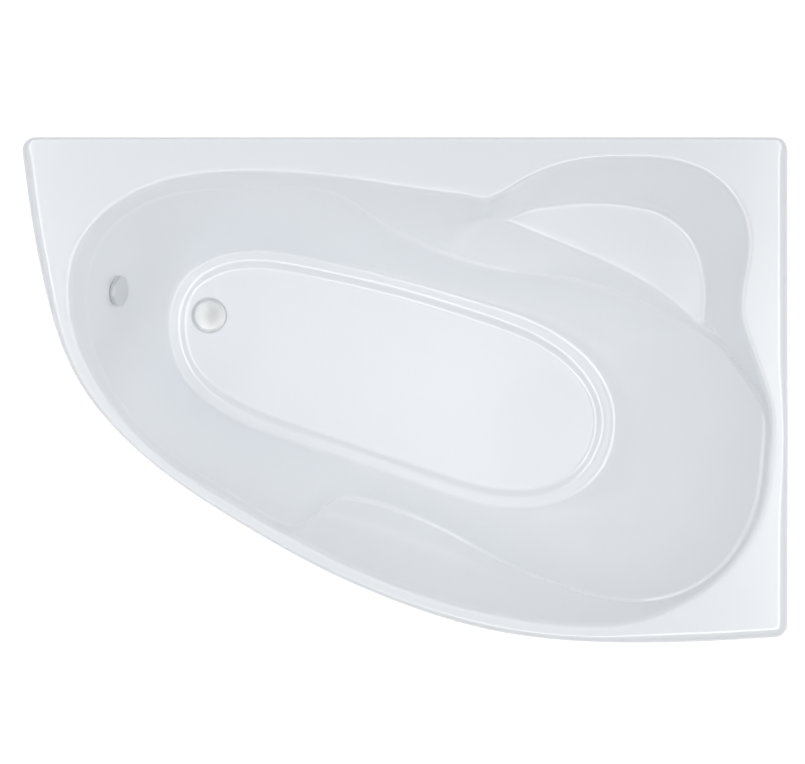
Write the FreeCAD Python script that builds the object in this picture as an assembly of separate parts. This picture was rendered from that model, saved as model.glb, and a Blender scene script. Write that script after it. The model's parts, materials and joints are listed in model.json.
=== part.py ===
"""Asymmetric acrylic corner bathtub with a moulded corner seat, on a welded frame with five screw legs.

Lengths are millimetres. The tub stands on z = 0 with its length along X, its long wall side at +Y,
and the origin on the floor under the middle of its outline.
"""
import FreeCAD
import Part
import math
import os

Vector = FreeCAD.Vector
UP = Vector(0, 0, 1)
DOWN = Vector(0, 0, -1)
MIDDLE_SHARE = 0.5
FULL_TURN = 360

# Overall size of the tub
TUB_LENGTH = 1500.0
TUB_WIDTH = 990.0
BASIN_DEPTH = 410.0
FLOOR_LEVEL = 210.0

# Moulded sheet, the laminate behind it and the turned-down lip
SHEET = 5.0
BACKING = 3.0
LIP_DROP = 45.0
LIP_ROUND = 7.0
CORNER_ROUND = 26.0

# Runs of the rounds along each moulded edge, and the narrow ledge under the arm rests
RIM_ROUND = 5.5
SEAT_BACK_ROUND = 9.0
SEAT_ROUND = 7.5
LEDGE_WIDTH = 9.0
LEDGE_DROP = 2.0
LEDGE_ROUND = 4.2
TOE_ROUND = 7.0
STEP_ROUND = 6.0

# Seat and floor levels, and the shallow tread round the floor
SEAT_DEPTH = 150.0
TOE_RISE = 15.0
TOE_WIDTH = 23.0
TREAD_FALL = 2.0
STEP_RUN = 17.0

# Plan outlines as shares of the length from the left and of the width from the front
FRONT_CURVE_SHARES = [
    (1.0, 0.012), (0.912, 0.004), (0.8076, 0.0), (0.703, 0.006), (0.624, 0.0218), (0.4935, 0.0794),
    (0.3887, 0.1488), (0.284, 0.238), (0.179, 0.345), (0.1139, 0.4365), (0.0746, 0.516), (0.0327, 0.6825),
    (0.0065, 0.897), (-0.0022, 1.0)]
RIM_SHARES = [
    (0.0576, 0.6845), (0.0641, 0.770), (0.1008, 0.849), (0.166, 0.908), (0.284, 0.9365), (0.441, 0.9206),
    (0.559, 0.895), (0.593, 0.886), (0.607, 0.881), (0.623, 0.890), (0.6505, 0.9167), (0.716, 0.9554),
    (0.801, 0.9653), (0.886, 0.9454), (0.936, 0.885), (0.9535, 0.7877), (0.9417, 0.6647), (0.958, 0.5754),
    (0.9777, 0.470), (0.979, 0.371), (0.958, 0.224), (0.8927, 0.1032), (0.8076, 0.0377), (0.729, 0.0288),
    (0.598, 0.0565), (0.441, 0.135), (0.284, 0.260), (0.166, 0.381), (0.0942, 0.512), (0.0668, 0.599)]
# Crease under the arm rests: length share, width share, share of the basin's depth, share of the ledge
CREASE_SHARES = [
    (0.079, 0.681, 0.17, 0.0), (0.100, 0.802, 0.17, 0.0), (0.174, 0.883, 0.17, 0.0),
    (0.280, 0.903, 0.17, 0.0), (0.407, 0.893, 0.18, 0.0), (0.466, 0.843, 0.41, 0.3),
    (0.549, 0.786, 0.61, 1.0), (0.633, 0.751, 0.65, 1.0), (0.716, 0.734, 0.63, 0.7),
    (0.798, 0.697, 0.57, 0.5), (0.877, 0.638, 0.45, 0.6), (0.909, 0.609, 0.38, 1.0),
    (0.948, 0.528, 0.21, 1.0), (0.968, 0.464, 0.11, 1.0), (0.967, 0.380, 0.075, 1.0),
    (0.957, 0.270, 0.075, 1.0), (0.921, 0.166, 0.075, 1.0), (0.877, 0.109, 0.11, 1.0),
    (0.813, 0.079, 0.18, 1.0), (0.737, 0.090, 0.32, 1.0), (0.631, 0.147, 0.54, 1.0),
    (0.521, 0.231, 0.69, 1.0), (0.423, 0.274, 0.70, 0.8), (0.378, 0.244, 0.31, 0.0),
    (0.357, 0.228, 0.16, 0.0), (0.281, 0.287, 0.11, 0.0), (0.176, 0.393, 0.11, 0.0),
    (0.109, 0.518, 0.12, 0.0), (0.0855, 0.605, 0.15, 0.0)]
SEAT_BACK_SHARES = [
    (0.636, 0.847), (0.663, 0.867), (0.7105, 0.882), (0.765, 0.886), (0.819, 0.875), (0.860, 0.845),
    (0.887, 0.802), (0.9008, 0.746), (0.9075, 0.664), (0.908, 0.617)]
SEAT_FRONT_SHARES = [(0.636, 0.847), (0.7105, 0.799), (0.792, 0.7444), (0.860, 0.6806), (0.908, 0.617)]
FLOOR_SHARES = [
    (0.1865, 0.630), (0.200, 0.7137), (0.261, 0.761), (0.348, 0.751), (0.493, 0.7004), (0.609, 0.6466),
    (0.725, 0.562), (0.773, 0.4435), (0.7424, 0.3224), (0.667, 0.2808), (0.551, 0.318), (0.377, 0.408),
    (0.261, 0.476), (0.203, 0.549)]
BASIN_CENTRE_SHARES = (0.4935, 0.530)
# Where the seat's two edges lie on the plain wall, as shares of the way from rim to ledge
WALL_SEAT_SHARES = (0.62, 0.74)
SEAT_LEAN_SHARE = 0.9
SEAT_LEAN_TURN_SHARE = 0.05
# Hollow of the wall under the ledge: plan share, depth share at the sides, and its gain to the right
BOWL_PLAN_SHARE = 0.47
BOWL_DEPTH_SHARE = 0.72
BOWL_END_GAIN_SHARE = 0.10
ROUND_LIMIT_SHARE = 0.45
STATIONS = 160
LINE_SAMPLES = 600
HALVINGS = 40

# Boards glued under the floor and the seat, and blocks under the deck
BOARD = 16.0
BOARD_INSET_SHARE = 0.90
BOARD_LEFT_CUT = 58.0
SEAT_BOARD_SHARES = [(0.715, 0.855), (0.80, 0.86), (0.868, 0.80), (0.882, 0.70), (0.80, 0.765)]
RIM_BLOCK = 60.0
RIM_BLOCK_HEIGHT = 18.0

# Welded frame of square tube
RAIL = 25.0
RAIL_WALL = 1.5
RAIL_ROUND = 2.5
SIDE_INSET = 55.0
LEFT_CROSS_SHARE = 0.28
LEFT_CROSS_FRONT_SHARE = 0.29
MIDDLE_CROSS_SHARE = 0.633
FRONT_RAIL_START_SHARE = 0.6
DIAGONAL_END_SHARE = 0.308
SEAT_RAIL_SHARE = 0.80
SEAT_POST_SHARE = 0.80
POST_PLATE = 56.0
POST_PLATE_THICKNESS = 3.0

# Screws
SCREW_DIAMETER = 4.0
SCREW_HEAD = 8.0
SCREW_HEAD_HEIGHT = 2.5
SCREW_LENGTH = 12.0
SCREW_PITCH_SHARE = 0.6
BOARD_SCREW_REACH = 130.0
BOARD_SCREW_STANDOFF = 45.0

# Screw legs
STUD = 12.0
STUD_GAP = 0.3
STUD_RISE = 9.0
STUD_CHAMFER = 0.8
SLEEVE = 22.0
SLEEVE_HEIGHT = 25.0
LOCK_NUT_FLATS = 19.0
LOCK_NUT_HEIGHT = 8.0
FOOT = 56.0
FOOT_HEIGHT = 9.0
FOOT_BOSS = 26.0
FOOT_BOSS_HEIGHT = 24.0
FOOT_BOSS_TIP_SHARE = 0.8
FOOT_SOLE = 5.0
LEG_STANDOFF = 60.0
FRONT_LEG_STANDOFF = 55.0
CENTRE_LEG_SHARE = 0.52

# Waste in the floor
DRAIN_SHARES = (0.219, 0.661)
DRAIN_HOLE = 50.0
DRAIN_RECESS = 2.0
RECESS = 78.0
FLANGE = 74.0
FLANGE_THICKNESS = 2.5
FLANGE_BORE = 42.0
FLANGE_WALL = 2.0
FLANGE_THROAT = 24.0
FLANGE_EDGE = 1.2
SPOKE_COUNT = 4
SPOKE_WIDTH = 3.0
SPOKE_HEIGHT = 6.0
SPOKE_BOSS = 20.0
TOP_SEAL = 1.0
BOTTOM_SEAL = 4.0
SEAL_OUTER = 70.0
BODY_FLANGE = 74.0
BODY_FLANGE_HEIGHT = 5.0
BODY_WALL = 4.0
BODY_HEIGHT = 52.0
BODY_CONE = 9.0
BODY_SPIGOT = 26.0
PORT_DROP = 33.0
PORT_REACH = 62.0

# Press plug with its latch cartridge
CAP = 64.0
CAP_RIM = 2.4
CAP_CROWN = 4.5
CAP_GAP = 0.3
PLUG_SEAL_OUTER = 52.0
PLUG_SEAL_INNER = 44.0
PLUG_SEAL = 2.0
PLUG_LIFT = 10.0
STEM = 8.0
STEM_GAP = 0.3
PISTON_HEIGHT = 4.0
PISTON_STOP = 1.0
CARTRIDGE = 14.0
CARTRIDGE_HEIGHT = 26.0
CARTRIDGE_BORE = 10.0
CARTRIDGE_FLOOR = 3.0
CARTRIDGE_MOUTH = 3.0
SPRING_WIRE = 1.0
SPRING_TURNS = 4
SPRING_STEPS = 4
SPRING_GAP = 0.3

# Overflow in the left wall
OVERFLOW_ANGLE = 163.5
OVERFLOW_DEPTH = 195.0
OVERFLOW_HOLE = 44.0
OVERFLOW_CAP = 64.0
OVERFLOW_CAP_HEIGHT = 9.0
OVERFLOW_CAP_ROUND = 3.5
OVERFLOW_CAP_WALL = 2.5
OVERFLOW_CAP_STAND = 6.0
FACEPLATE = 54.0
FACEPLATE_HEIGHT = 6.0
FACEPLATE_TUBE = 40.0
FACEPLATE_WALL = 2.5
FACEPLATE_LUGS = 3
CAP_STUD = 6.0
CAP_STUD_BOSS = 12.0
GASKET = 3.5
ELBOW_FLANGE = 68.0
ELBOW_FLANGE_HEIGHT = 5.0
ELBOW_CHAMBER = 52.0
ELBOW_WALL = 3.0
ELBOW_LENGTH = 40.0
ELBOW_SPIGOT = 62.0

# Overflow pipe, its sockets and its nuts
PIPE = 32.0
PIPE_WALL = 2.0
PIPE_BEND = 48.0
SOCKET_GAP = 0.3
SOCKET_WALL = 3.7
SOCKET_DEPTH = 24.0
NUT_WALL = 5.0
NUT_COVER = 15.0
NUT_LIP = 4.0
NUT_RIBS = 12
NUT_RIB_DEPTH = 1.4

# Trap and outlet
TRAP_PIPE = 40.0
TRAP_WALL = 2.0
TRAP_BEND = 42.0
TRAP_CLEARANCE = 10.0
OUTLET_BEND = 32.0
OUTLET_RUN = 26.0
OUTLET_STUB = 22.0
OUTLET_BEAD = 2.0
OUTLET_BEAD_WIDTH = 3.0
TRAP_NUT_HEIGHT = 34.0

# Run that every cutting shape has to spare
OVERRUN = 2.0

# Levels worked out from the sizes above
RIM_HEIGHT = FLOOR_LEVEL + BASIN_DEPTH
SEAT_LEVEL = RIM_HEIGHT - SEAT_DEPTH
TOE_LEVEL = FLOOR_LEVEL + TOE_RISE
UNDERSIDE = FLOOR_LEVEL - SHEET - BACKING
SEAT_UNDERSIDE = SEAT_LEVEL - SHEET - BACKING
RAIL_TOP = UNDERSIDE - BOARD
RAIL_LEVEL = RAIL_TOP - RAIL / 2
RAIL_BOTTOM = RAIL_TOP - RAIL
BACK_RAIL_Y = TUB_WIDTH / 2 - SIDE_INSET
FRONT_RAIL_Y = SIDE_INSET - TUB_WIDTH / 2
RIGHT_RAIL_X = TUB_LENGTH / 2 - SIDE_INSET
LEFT_POST_X = SIDE_INSET - TUB_LENGTH / 2
SOCKET_BORE = PIPE + 2 * SOCKET_GAP
SOCKET = SOCKET_BORE + 2 * SOCKET_WALL
FLANGE_SEAT = FLOOR_LEVEL - DRAIN_RECESS + TOP_SEAL
FLANGE_TOP = FLANGE_SEAT + FLANGE_THICKNESS
BOSS_TOP = FLANGE_SEAT - FLANGE_THROAT + SPOKE_HEIGHT
CAP_LEVEL = FLANGE_TOP + CAP_GAP
PISTON_TOP = BOSS_TOP - PLUG_LIFT - PISTON_STOP
SPRING_FOOT = BOSS_TOP - CARTRIDGE_HEIGHT + CARTRIDGE_FLOOR
BODY_TOP = UNDERSIDE - BOTTOM_SEAL
BODY_BORE = FLANGE_BORE + 2 * FLANGE_WALL + 2 * SOCKET_GAP
SPIGOT_TOP = BODY_TOP - BODY_HEIGHT - BODY_CONE
SPIGOT_END = SPIGOT_TOP - BODY_SPIGOT
PORT_LEVEL = BODY_TOP - PORT_DROP
ELBOW_SEAT = SHEET + BACKING + GASKET
TRAP_DIP = TRAP_CLEARANCE + TRAP_PIPE / 2 + TRAP_BEND


def plan(shares, height=0.0):
    """Point above a place given as shares of the length from the left and of the width from the front."""
    across, along = shares
    return Vector((across - MIDDLE_SHARE) * TUB_LENGTH, (along - MIDDLE_SHARE) * TUB_WIDTH, height)


BASIN_CENTRE = plan(BASIN_CENTRE_SHARES)
DRAIN = plan(DRAIN_SHARES)


# Lines of the moulding

def closed_line(points):
    """Dense points round a smooth closed line through the points."""
    curve = Part.BSplineCurve()
    curve.interpolate(points, PeriodicFlag=True)
    return curve.discretize(LINE_SAMPLES)


def open_line(points):
    """Dense points along a smooth line from the first point to the last."""
    curve = Part.BSplineCurve()
    curve.interpolate(points)
    return curve.discretize(LINE_SAMPLES)


def widened(outline, distance, height):
    """Closed line a distance outside a flat convex one, at another height."""
    spaced = outline[:-1]
    moved = []
    for index, point in enumerate(spaced):
        along = spaced[(index + 1) % len(spaced)] - spaced[index - 1]
        outward = Vector(along.y, -along.x, 0).normalize()
        if outward.dot(point - BASIN_CENTRE) < 0:
            outward = -outward
        moved.append(Vector(point.x, point.y, height) + outward * distance)
    return moved + moved[:1]


def crossing(outline, angle):
    """Radius and height where the ray from the basin's centre crosses a line, or None where it misses."""
    ray = Vector(math.cos(angle), math.sin(angle), 0)
    for start, end in zip(outline, outline[1:]):
        side_start = ray.x * (start.y - BASIN_CENTRE.y) - ray.y * (start.x - BASIN_CENTRE.x)
        side_end = ray.x * (end.y - BASIN_CENTRE.y) - ray.y * (end.x - BASIN_CENTRE.x)
        if side_start * side_end > 0 or side_start == side_end:
            continue
        point = start + (end - start) * (side_start / (side_start - side_end))
        radius = ray.dot(point - BASIN_CENTRE)
        if radius > 0:
            return radius, point.z
    return None


RIM_LINE = closed_line([plan(shares, RIM_HEIGHT) for shares in RIM_SHARES])
CREASE_LINE = closed_line([plan(row[:2], RIM_HEIGHT - row[2] * BASIN_DEPTH) for row in CREASE_SHARES])
LEDGE_LINE = closed_line([plan(row[:2], row[3] * LEDGE_WIDTH) for row in CREASE_SHARES])
SEAT_BACK_LINE = open_line([plan(shares, SEAT_LEVEL) for shares in SEAT_BACK_SHARES])
SEAT_FRONT_LINE = open_line([plan(shares, SEAT_LEVEL) for shares in SEAT_FRONT_SHARES])
FLOOR_LINE = closed_line([plan(shares, FLOOR_LEVEL) for shares in FLOOR_SHARES])
STEP_LINE = widened(FLOOR_LINE, STEP_RUN, TOE_LEVEL - TREAD_FALL)
TOE_LINE = widened(FLOOR_LINE, STEP_RUN + TOE_WIDTH, TOE_LEVEL)


# Sections of the moulding along rays from the basin's centre, as (radius, height) corners

def between(start, end, share):
    """Point a share of the way from one (radius, height) pair to another."""
    return tuple(a + (b - a) * share for a, b in zip(start, end))


def span(start, end):
    """Length between two (radius, height) pairs."""
    return math.hypot(end[0] - start[0], end[1] - start[1])


def wall_corners(rim, foot, angle):
    """Two corners of the plain wall, which leans towards the seat's inner tip beside it."""
    offset = SEAT_BACK_LINE[0] - BASIN_CENTRE
    tip = (math.hypot(offset.x, offset.y), SEAT_LEVEL)
    turn = abs(math.remainder(angle - math.atan2(offset.y, offset.x), 2 * math.pi)) / (2 * math.pi)
    near = max(0, 1 - turn / SEAT_LEAN_TURN_SHARE)
    lean = SEAT_LEAN_SHARE * near * near * (3 - 2 * near)
    return [between(between(rim, foot, share), tip, lean) for share in WALL_SEAT_SHARES]


def section_corners(angle):
    """Corners of the moulded face from the deck inwards and down to the floor, along one ray."""
    rim = crossing(RIM_LINE, angle)
    crease = crossing(CREASE_LINE, angle)
    ledge = crossing(LEDGE_LINE, angle)[1]
    toe = crossing(TOE_LINE, angle)
    step = crossing(STEP_LINE, angle)
    floor = crossing(FLOOR_LINE, angle)
    plain_foot = between(crease, rim, LEDGE_WIDTH / span(crease, rim))
    ledge_foot = (crease[0] + LEDGE_WIDTH, crease[1] + LEDGE_DROP)
    foot = between(plain_foot, ledge_foot, max(0, min(1, ledge / LEDGE_WIDTH)))
    back = crossing(SEAT_BACK_LINE, angle)
    front = crossing(SEAT_FRONT_LINE, angle)
    if back is None or front is None:
        back, front = wall_corners(rim, foot, angle)
    hollow_share = BOWL_DEPTH_SHARE + BOWL_END_GAIN_SHARE * math.cos(angle)
    bowl = (between(crease, toe, BOWL_PLAN_SHARE)[0], between(crease, toe, hollow_share)[1])
    deck = (rim[0] + RIM_ROUND, rim[1])
    centre = (floor[0] - STEP_ROUND, floor[1])
    return [deck, rim, back, front, foot, crease, bowl, toe, step, floor, centre]


CORNER_ROUNDS = [0, RIM_ROUND, SEAT_BACK_ROUND, SEAT_ROUND, LEDGE_ROUND, LEDGE_ROUND, None, TOE_ROUND,
                 STEP_ROUND, STEP_ROUND, 0]
BOWL_CORNER = CORNER_ROUNDS.index(None)


def rounded_section(corners):
    """Start, corner and end of the round at each inner corner of a section."""
    last = len(corners) - 1
    rounds = []
    for index in range(1, last):
        runs = []
        for neighbour in (index - 1, index + 1):
            length = span(corners[index], corners[neighbour])
            if neighbour in (0, last):
                runs.append(1.0)
            elif index == BOWL_CORNER:
                runs.append(1 - min(CORNER_ROUNDS[neighbour] / length, ROUND_LIMIT_SHARE))
            else:
                runs.append(min(CORNER_ROUNDS[index] / length, ROUND_LIMIT_SHARE))
        start = between(corners[index], corners[index - 1], runs[0])
        end = between(corners[index], corners[index + 1], runs[1])
        rounds.append((start, corners[index], end))
    return rounds


def below(point, start, end, distance):
    """Point moved square to the stretch from start to end, to the underside of the sheet."""
    length = span(start, end)
    share = distance / length
    return point[0] - (end[1] - start[1]) * share, point[1] + (end[0] - start[0]) * share


def mitre(before, corner, after, distance):
    """Corner of the parallel section a distance below."""
    first = below((0, 0), before, corner, 1)
    second = below((0, 0), corner, after, 1)
    reach = distance / (1 + first[0] * second[0] + first[1] * second[1])
    return corner[0] + (first[0] + second[0]) * reach, corner[1] + (first[1] + second[1]) * reach


def lowered_section(corners, distance):
    """Rounds of the section that runs parallel to the moulded face, a distance below it."""
    moved = []
    for index, (start, corner, end) in enumerate(rounded_section(corners), 1):
        before, after = corners[index - 1], corners[index + 1]
        moved.append((below(start, before, corner, distance), mitre(before, corner, after, distance),
                      below(end, corner, after, distance)))
    return moved


STATION_ANGLES = [2 * math.pi * station / STATIONS for station in range(STATIONS)]
SECTIONS = [section_corners(angle) for angle in STATION_ANGLES]


def ring(pairs):
    """Points round the basin from one (radius, height) pair for each station."""
    return [BASIN_CENTRE + Vector(radius * math.cos(angle), radius * math.sin(angle), height)
            for angle, (radius, height) in zip(STATION_ANGLES, pairs)]


def ring_edge(points):
    """Smooth closed edge steered by a ring of points."""
    curve = Part.BSplineCurve()
    count = len(points)
    curve.buildFromPolesMultsKnots(points, [1] * (count + 1), list(range(count + 1)), True, 3)
    return curve.toShape()


def ring_face(rings):
    """Smooth closed band steered by two or three rings, from the first ring to the last."""
    surface = Part.BSplineSurface()
    count = len(rings[0])
    degree = len(rings) - 1
    surface.buildFromPolesMultsKnots(rings, [degree + 1, degree + 1], [1] * (count + 1), [0, 1],
                                     list(range(count + 1)), False, True, degree, 3)
    return surface.toShape()


def moulded_rings(distance):
    """Rings of the rounds of the face that lies a distance below the moulded one, deck to floor."""
    lowered = [lowered_section(corners, distance) for corners in SECTIONS]
    return [[ring([section[index][part] for section in lowered]) for part in range(3)]
            for index in range(len(CORNER_ROUNDS) - 2)]


def moulded_bands(rings):
    """Bands of one face of the moulding: its rounds and the straight stretches between them."""
    bands = []
    for index, round_rings in enumerate(rings):
        bands.append(ring_face(round_rings))
        following = index + 1
        beside_bowl = BOWL_CORNER in (following, following + 1)
        if following < len(rings) and not beside_bowl:
            bands.append(ring_face([round_rings[2], rings[following][0]]))
    return bands


def basin_faces(near, far):
    """Faces of the basin's skin between two distances below the moulded face, and its two rim edges."""
    faces = []
    rims = []
    for rings in (moulded_rings(near), moulded_rings(far)):
        faces += moulded_bands(rings)
        faces.append(Part.Face(Part.Wire([ring_edge(rings[-1][2])])))
        rims.append(rings[0][0])
    return faces, rims


def sewn(faces):
    """Solid inside a closed set of faces."""
    shell = Part.Shell(faces)
    shell.sewShape()
    solid = Part.Solid(shell)
    if solid.Volume < 0:
        solid.reverse()
    return solid


# Simple solids

def turned(section, place=Vector(), axis=UP):
    """Solid turned from a half section of (radius, height) corners about an axis through a place."""
    corners = [Vector(radius, 0, height) for radius, height in section]
    solid = Part.Face(Part.makePolygon(corners + corners[:1])).revolve(Vector(), UP, FULL_TURN)
    solid.Placement = FreeCAD.Placement(place, FreeCAD.Rotation(UP, axis))
    return solid


def rod(diameter, start, end):
    """Round bar between two points."""
    return Part.makeCylinder(diameter / 2, (end - start).Length, start, end - start)


def tube(outer, inner, start, end):
    """Round tube between two points."""
    along = (end - start).normalize() * OVERRUN
    return rod(outer, start, end).cut(rod(inner, start - along, end + along))


def hexagon_nut(flats, bore, bottom, height):
    """Hexagon nut standing on a point."""
    corner = flats / math.sqrt(3)
    angles = [math.pi * (2 * k + 1) / 6 for k in range(6)]
    points = [bottom + Vector(corner * math.cos(angle), corner * math.sin(angle), 0) for angle in angles]
    block = Part.Face(Part.makePolygon(points + points[:1])).extrude(UP * height)
    chamfered = block.common(turned([(0, 0), (flats / 2, 0), (corner, (corner - flats / 2) / 2),
                                     (corner, height - (corner - flats / 2) / 2), (flats / 2, height),
                                     (0, height)], bottom))
    return chamfered.cut(rod(bore, bottom + DOWN * OVERRUN, bottom + UP * (height + OVERRUN)))


def square_tube(start, end):
    """Hollow square tube with rounded edges between two points."""
    length = (end - start).Length
    solids = []
    for width, edge_round in ((RAIL, RAIL_ROUND), (RAIL - 2 * RAIL_WALL, RAIL_ROUND - RAIL_WALL)):
        bar = Part.makeBox(width, width, length, Vector(-width / 2, -width / 2, 0))
        long_edges = [edge for edge in bar.Edges if abs(edge.tangentAt(0).z) > MIDDLE_SHARE]
        solids.append(bar.makeFillet(edge_round, long_edges))
    solid = solids[0].cut(solids[1])
    along = (end - start).normalize()
    side = Vector(1, 0, 0) if abs(along.z) > MIDDLE_SHARE else UP
    solid.Placement = FreeCAD.Placement(start, FreeCAD.Rotation(side, side.cross(along), along, "ZXY"))
    return solid


def piped(path_edges, diameter):
    """Round bar along a path of straight runs and tangent arcs."""
    path = Part.Wire(path_edges)
    first = path.Edges[0]
    start = first.valueAt(first.FirstParameter)
    circle = Part.Wire([Part.Circle(start, first.tangentAt(first.FirstParameter), diameter / 2).toShape()])
    return path.makePipeShell([circle], True, False)


def arc(start, through, end):
    """Arc edge through three points."""
    return Part.Arc(start, through, end).toShape()


def tangent_arc(start, apex, end):
    """Arc edge between two points whose end tangents cross at the apex, equally far from both."""
    middle = (start + end) / 2
    half_chord = (end - start).Length / 2
    rise = (apex - middle).Length
    bulge = half_chord * ((apex - start).Length - half_chord) / rise
    return arc(start, middle + (apex - middle).normalize() * bulge, end)


def biarc(start, start_along, end, end_along):
    """Two smoothly joined arcs from one point and direction to another."""
    run = end - start
    square = 2 * (start_along.dot(end_along) - 1)
    cross = run.dot(start_along + end_along)
    reach = (cross - math.sqrt(cross * cross - square * run.dot(run))) / square
    first, second = start + start_along * reach, end - end_along * reach
    joint = (first + second) / 2
    return [tangent_arc(start, first, joint), tangent_arc(joint, second, end)]


def line(start, end):
    """Straight edge between two points."""
    return Part.LineSegment(start, end).toShape()


# Shell

def front_edges(inset, height):
    """Edges of the outline's curved front, drawn in by an inset, with a little to spare past both ends."""
    outer = Part.BSplineCurve()
    outer.interpolate([plan(shares, height) for shares in FRONT_CURVE_SHARES])
    points = []
    for shares in FRONT_CURVE_SHARES:
        spot = outer.parameter(plan(shares, height))
        along = outer.tangent(spot)[0]
        points.append(outer.value(spot) + Vector(along.y, -along.x, 0) * inset)
    curve = Part.BSplineCurve()
    curve.interpolate(points)
    start = points[0] - curve.tangent(curve.FirstParameter)[0] * CORNER_ROUND
    end = points[-1] + curve.tangent(curve.LastParameter)[0] * CORNER_ROUND
    return start, end, [line(start, points[0]), curve.toShape(), line(points[-1], end)]


def outline_block(inset, height, edge_round):
    """Block of the tub's outline, drawn in by an inset, hanging from a height with its top edge rounded."""
    start, end, front = front_edges(inset, height)
    far = Vector(TUB_LENGTH, TUB_WIDTH, height)
    block = Part.Face(Part.Wire(front + [line(end, far), line(far, start)])).extrude(DOWN * LIP_DROP)
    corner = Vector(-3 * TUB_LENGTH / 2 - inset, -3 * TUB_WIDTH / 2 - inset, height - LIP_DROP)
    block = block.common(Part.makeBox(2 * TUB_LENGTH, 2 * TUB_WIDTH, LIP_DROP, corner))
    upright = [edge for edge in block.Edges
               if abs(edge.Vertexes[0].Z - edge.Vertexes[-1].Z) > LIP_DROP * MIDDLE_SHARE]
    block = block.makeFillet(CORNER_ROUND - inset, upright)
    crown = [edge for edge in block.Edges if min(vertex.Z for vertex in edge.Vertexes) > height - SHEET]
    return block.makeFillet(edge_round, crown)


def acrylic_sheet():
    """Deck, turned-down lip and basin in one sheet."""
    faces, rims = basin_faces(0, SHEET)
    tray = outline_block(0, RIM_HEIGHT, LIP_ROUND)
    tray = tray.cut(outline_block(SHEET, RIM_HEIGHT - SHEET, LIP_ROUND - SHEET))
    for face in tray.Faces:
        flat = isinstance(face.Surface, Part.Plane)
        openings = [rim for rim in rims if flat and abs(face.CenterOfMass.z - rim[0].z) < SHEET / 2]
        wires = [face.OuterWire] + [Part.Wire([ring_edge(rim)]) for rim in openings]
        faces.append(Part.makeFace(wires, "Part::FaceMakerBullseye") if openings else face)
    return sewn(faces)


def acrylic_shell(overflow):
    """Moulded acrylic shell with its waste recess and its two holes."""
    shell = acrylic_sheet()
    above = at_drain(FLOOR_LEVEL + OVERRUN)
    shell = shell.cut(rod(DRAIN_HOLE, at_drain(UNDERSIDE - OVERRUN), above))
    shell = shell.cut(rod(RECESS, at_drain(FLOOR_LEVEL - DRAIN_RECESS), above))
    return shell.cut(overflow.bore(OVERFLOW_HOLE, -OVERFLOW_CAP, SHEET + BACKING + OVERFLOW_CAP))


def fibreglass_backing(overflow):
    """Glass fibre laminate on the back of the basin, with the same two holes."""
    faces, rims = basin_faces(SHEET, SHEET + BACKING)
    backing = sewn(faces + [ring_face(rims)])
    backing = backing.cut(rod(DRAIN_HOLE, at_drain(UNDERSIDE - OVERRUN), at_drain(FLOOR_LEVEL)))
    return backing.cut(overflow.bore(OVERFLOW_HOLE, -OVERFLOW_CAP, SHEET + BACKING + OVERFLOW_CAP))


class OverflowAxis:
    """Line square to the left wall through the middle of the overflow, measured outwards from the wall."""

    def __init__(self):
        angle = math.radians(OVERFLOW_ANGLE)
        start, corner, end = rounded_section(section_corners(angle))[BOWL_CORNER - 1]
        low, high = 0.0, 1.0
        for _ in range(HALVINGS):
            share = (low + high) / 2
            place = between(between(start, corner, share), between(corner, end, share), share)
            if place[1] > RIM_HEIGHT - OVERFLOW_DEPTH:
                low = share
            else:
                high = share
        guess = BASIN_CENTRE + Vector(place[0] * math.cos(angle), place[0] * math.sin(angle), place[1])
        wall = ring_face(moulded_rings(0)[BOWL_CORNER - 1]).Surface
        spot = wall.parameter(guess)
        self.origin = wall.value(*spot)
        self.outward = wall.normal(*spot)
        if self.outward.dot(self.origin - BASIN_CENTRE) < 0:
            self.outward = -self.outward

    def at(self, distance):
        """Point on the axis, a distance outside the wall's bathing face."""
        return self.origin + self.outward * distance

    def bore(self, diameter, start, end):
        """Round bar along the axis."""
        return rod(diameter, self.at(start), self.at(end))

    def turned(self, section):
        """Solid turned about the axis from (radius, distance) corners."""
        return turned(section, self.origin, self.outward)


# Boards and blocks

def base_board():
    """Board glued under the flat floor, cut straight beside the waste."""
    floor = ring([section[-1] for section in SECTIONS])
    middle = Vector(BASIN_CENTRE.x, BASIN_CENTRE.y, FLOOR_LEVEL)
    drawn_in = [middle + (point - middle) * BOARD_INSET_SHARE for point in floor]
    lowered = [Vector(point.x, point.y, UNDERSIDE) for point in drawn_in]
    board = Part.Face(Part.Wire([ring_edge(lowered)])).extrude(DOWN * BOARD)
    cut_x = DRAIN.x + BOARD_LEFT_CUT
    waste_side = Part.makeBox(TUB_LENGTH, 2 * TUB_WIDTH, 2 * BOARD,
                              Vector(cut_x - TUB_LENGTH, -TUB_WIDTH, UNDERSIDE - 3 * BOARD / 2))
    return board.cut(waste_side)


def seat_board():
    """Board glued under the seat."""
    corners = [plan(shares, SEAT_UNDERSIDE) for shares in SEAT_BOARD_SHARES]
    return Part.Face(Part.makePolygon(corners + corners[:1])).extrude(DOWN * BOARD)


CORNERS = {"back_left": (LEFT_POST_X, BACK_RAIL_Y), "back_right": (RIGHT_RAIL_X, BACK_RAIL_Y),
           "front_right": (RIGHT_RAIL_X, FRONT_RAIL_Y)}


def rim_block(x, y):
    """Wooden block glued under the deck above a post."""
    return Part.makeBox(RIM_BLOCK, RIM_BLOCK, RIM_BLOCK_HEIGHT,
                        Vector(x - RIM_BLOCK / 2, y - RIM_BLOCK / 2, RIM_HEIGHT - SHEET - RIM_BLOCK_HEIGHT))


# Frame

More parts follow.
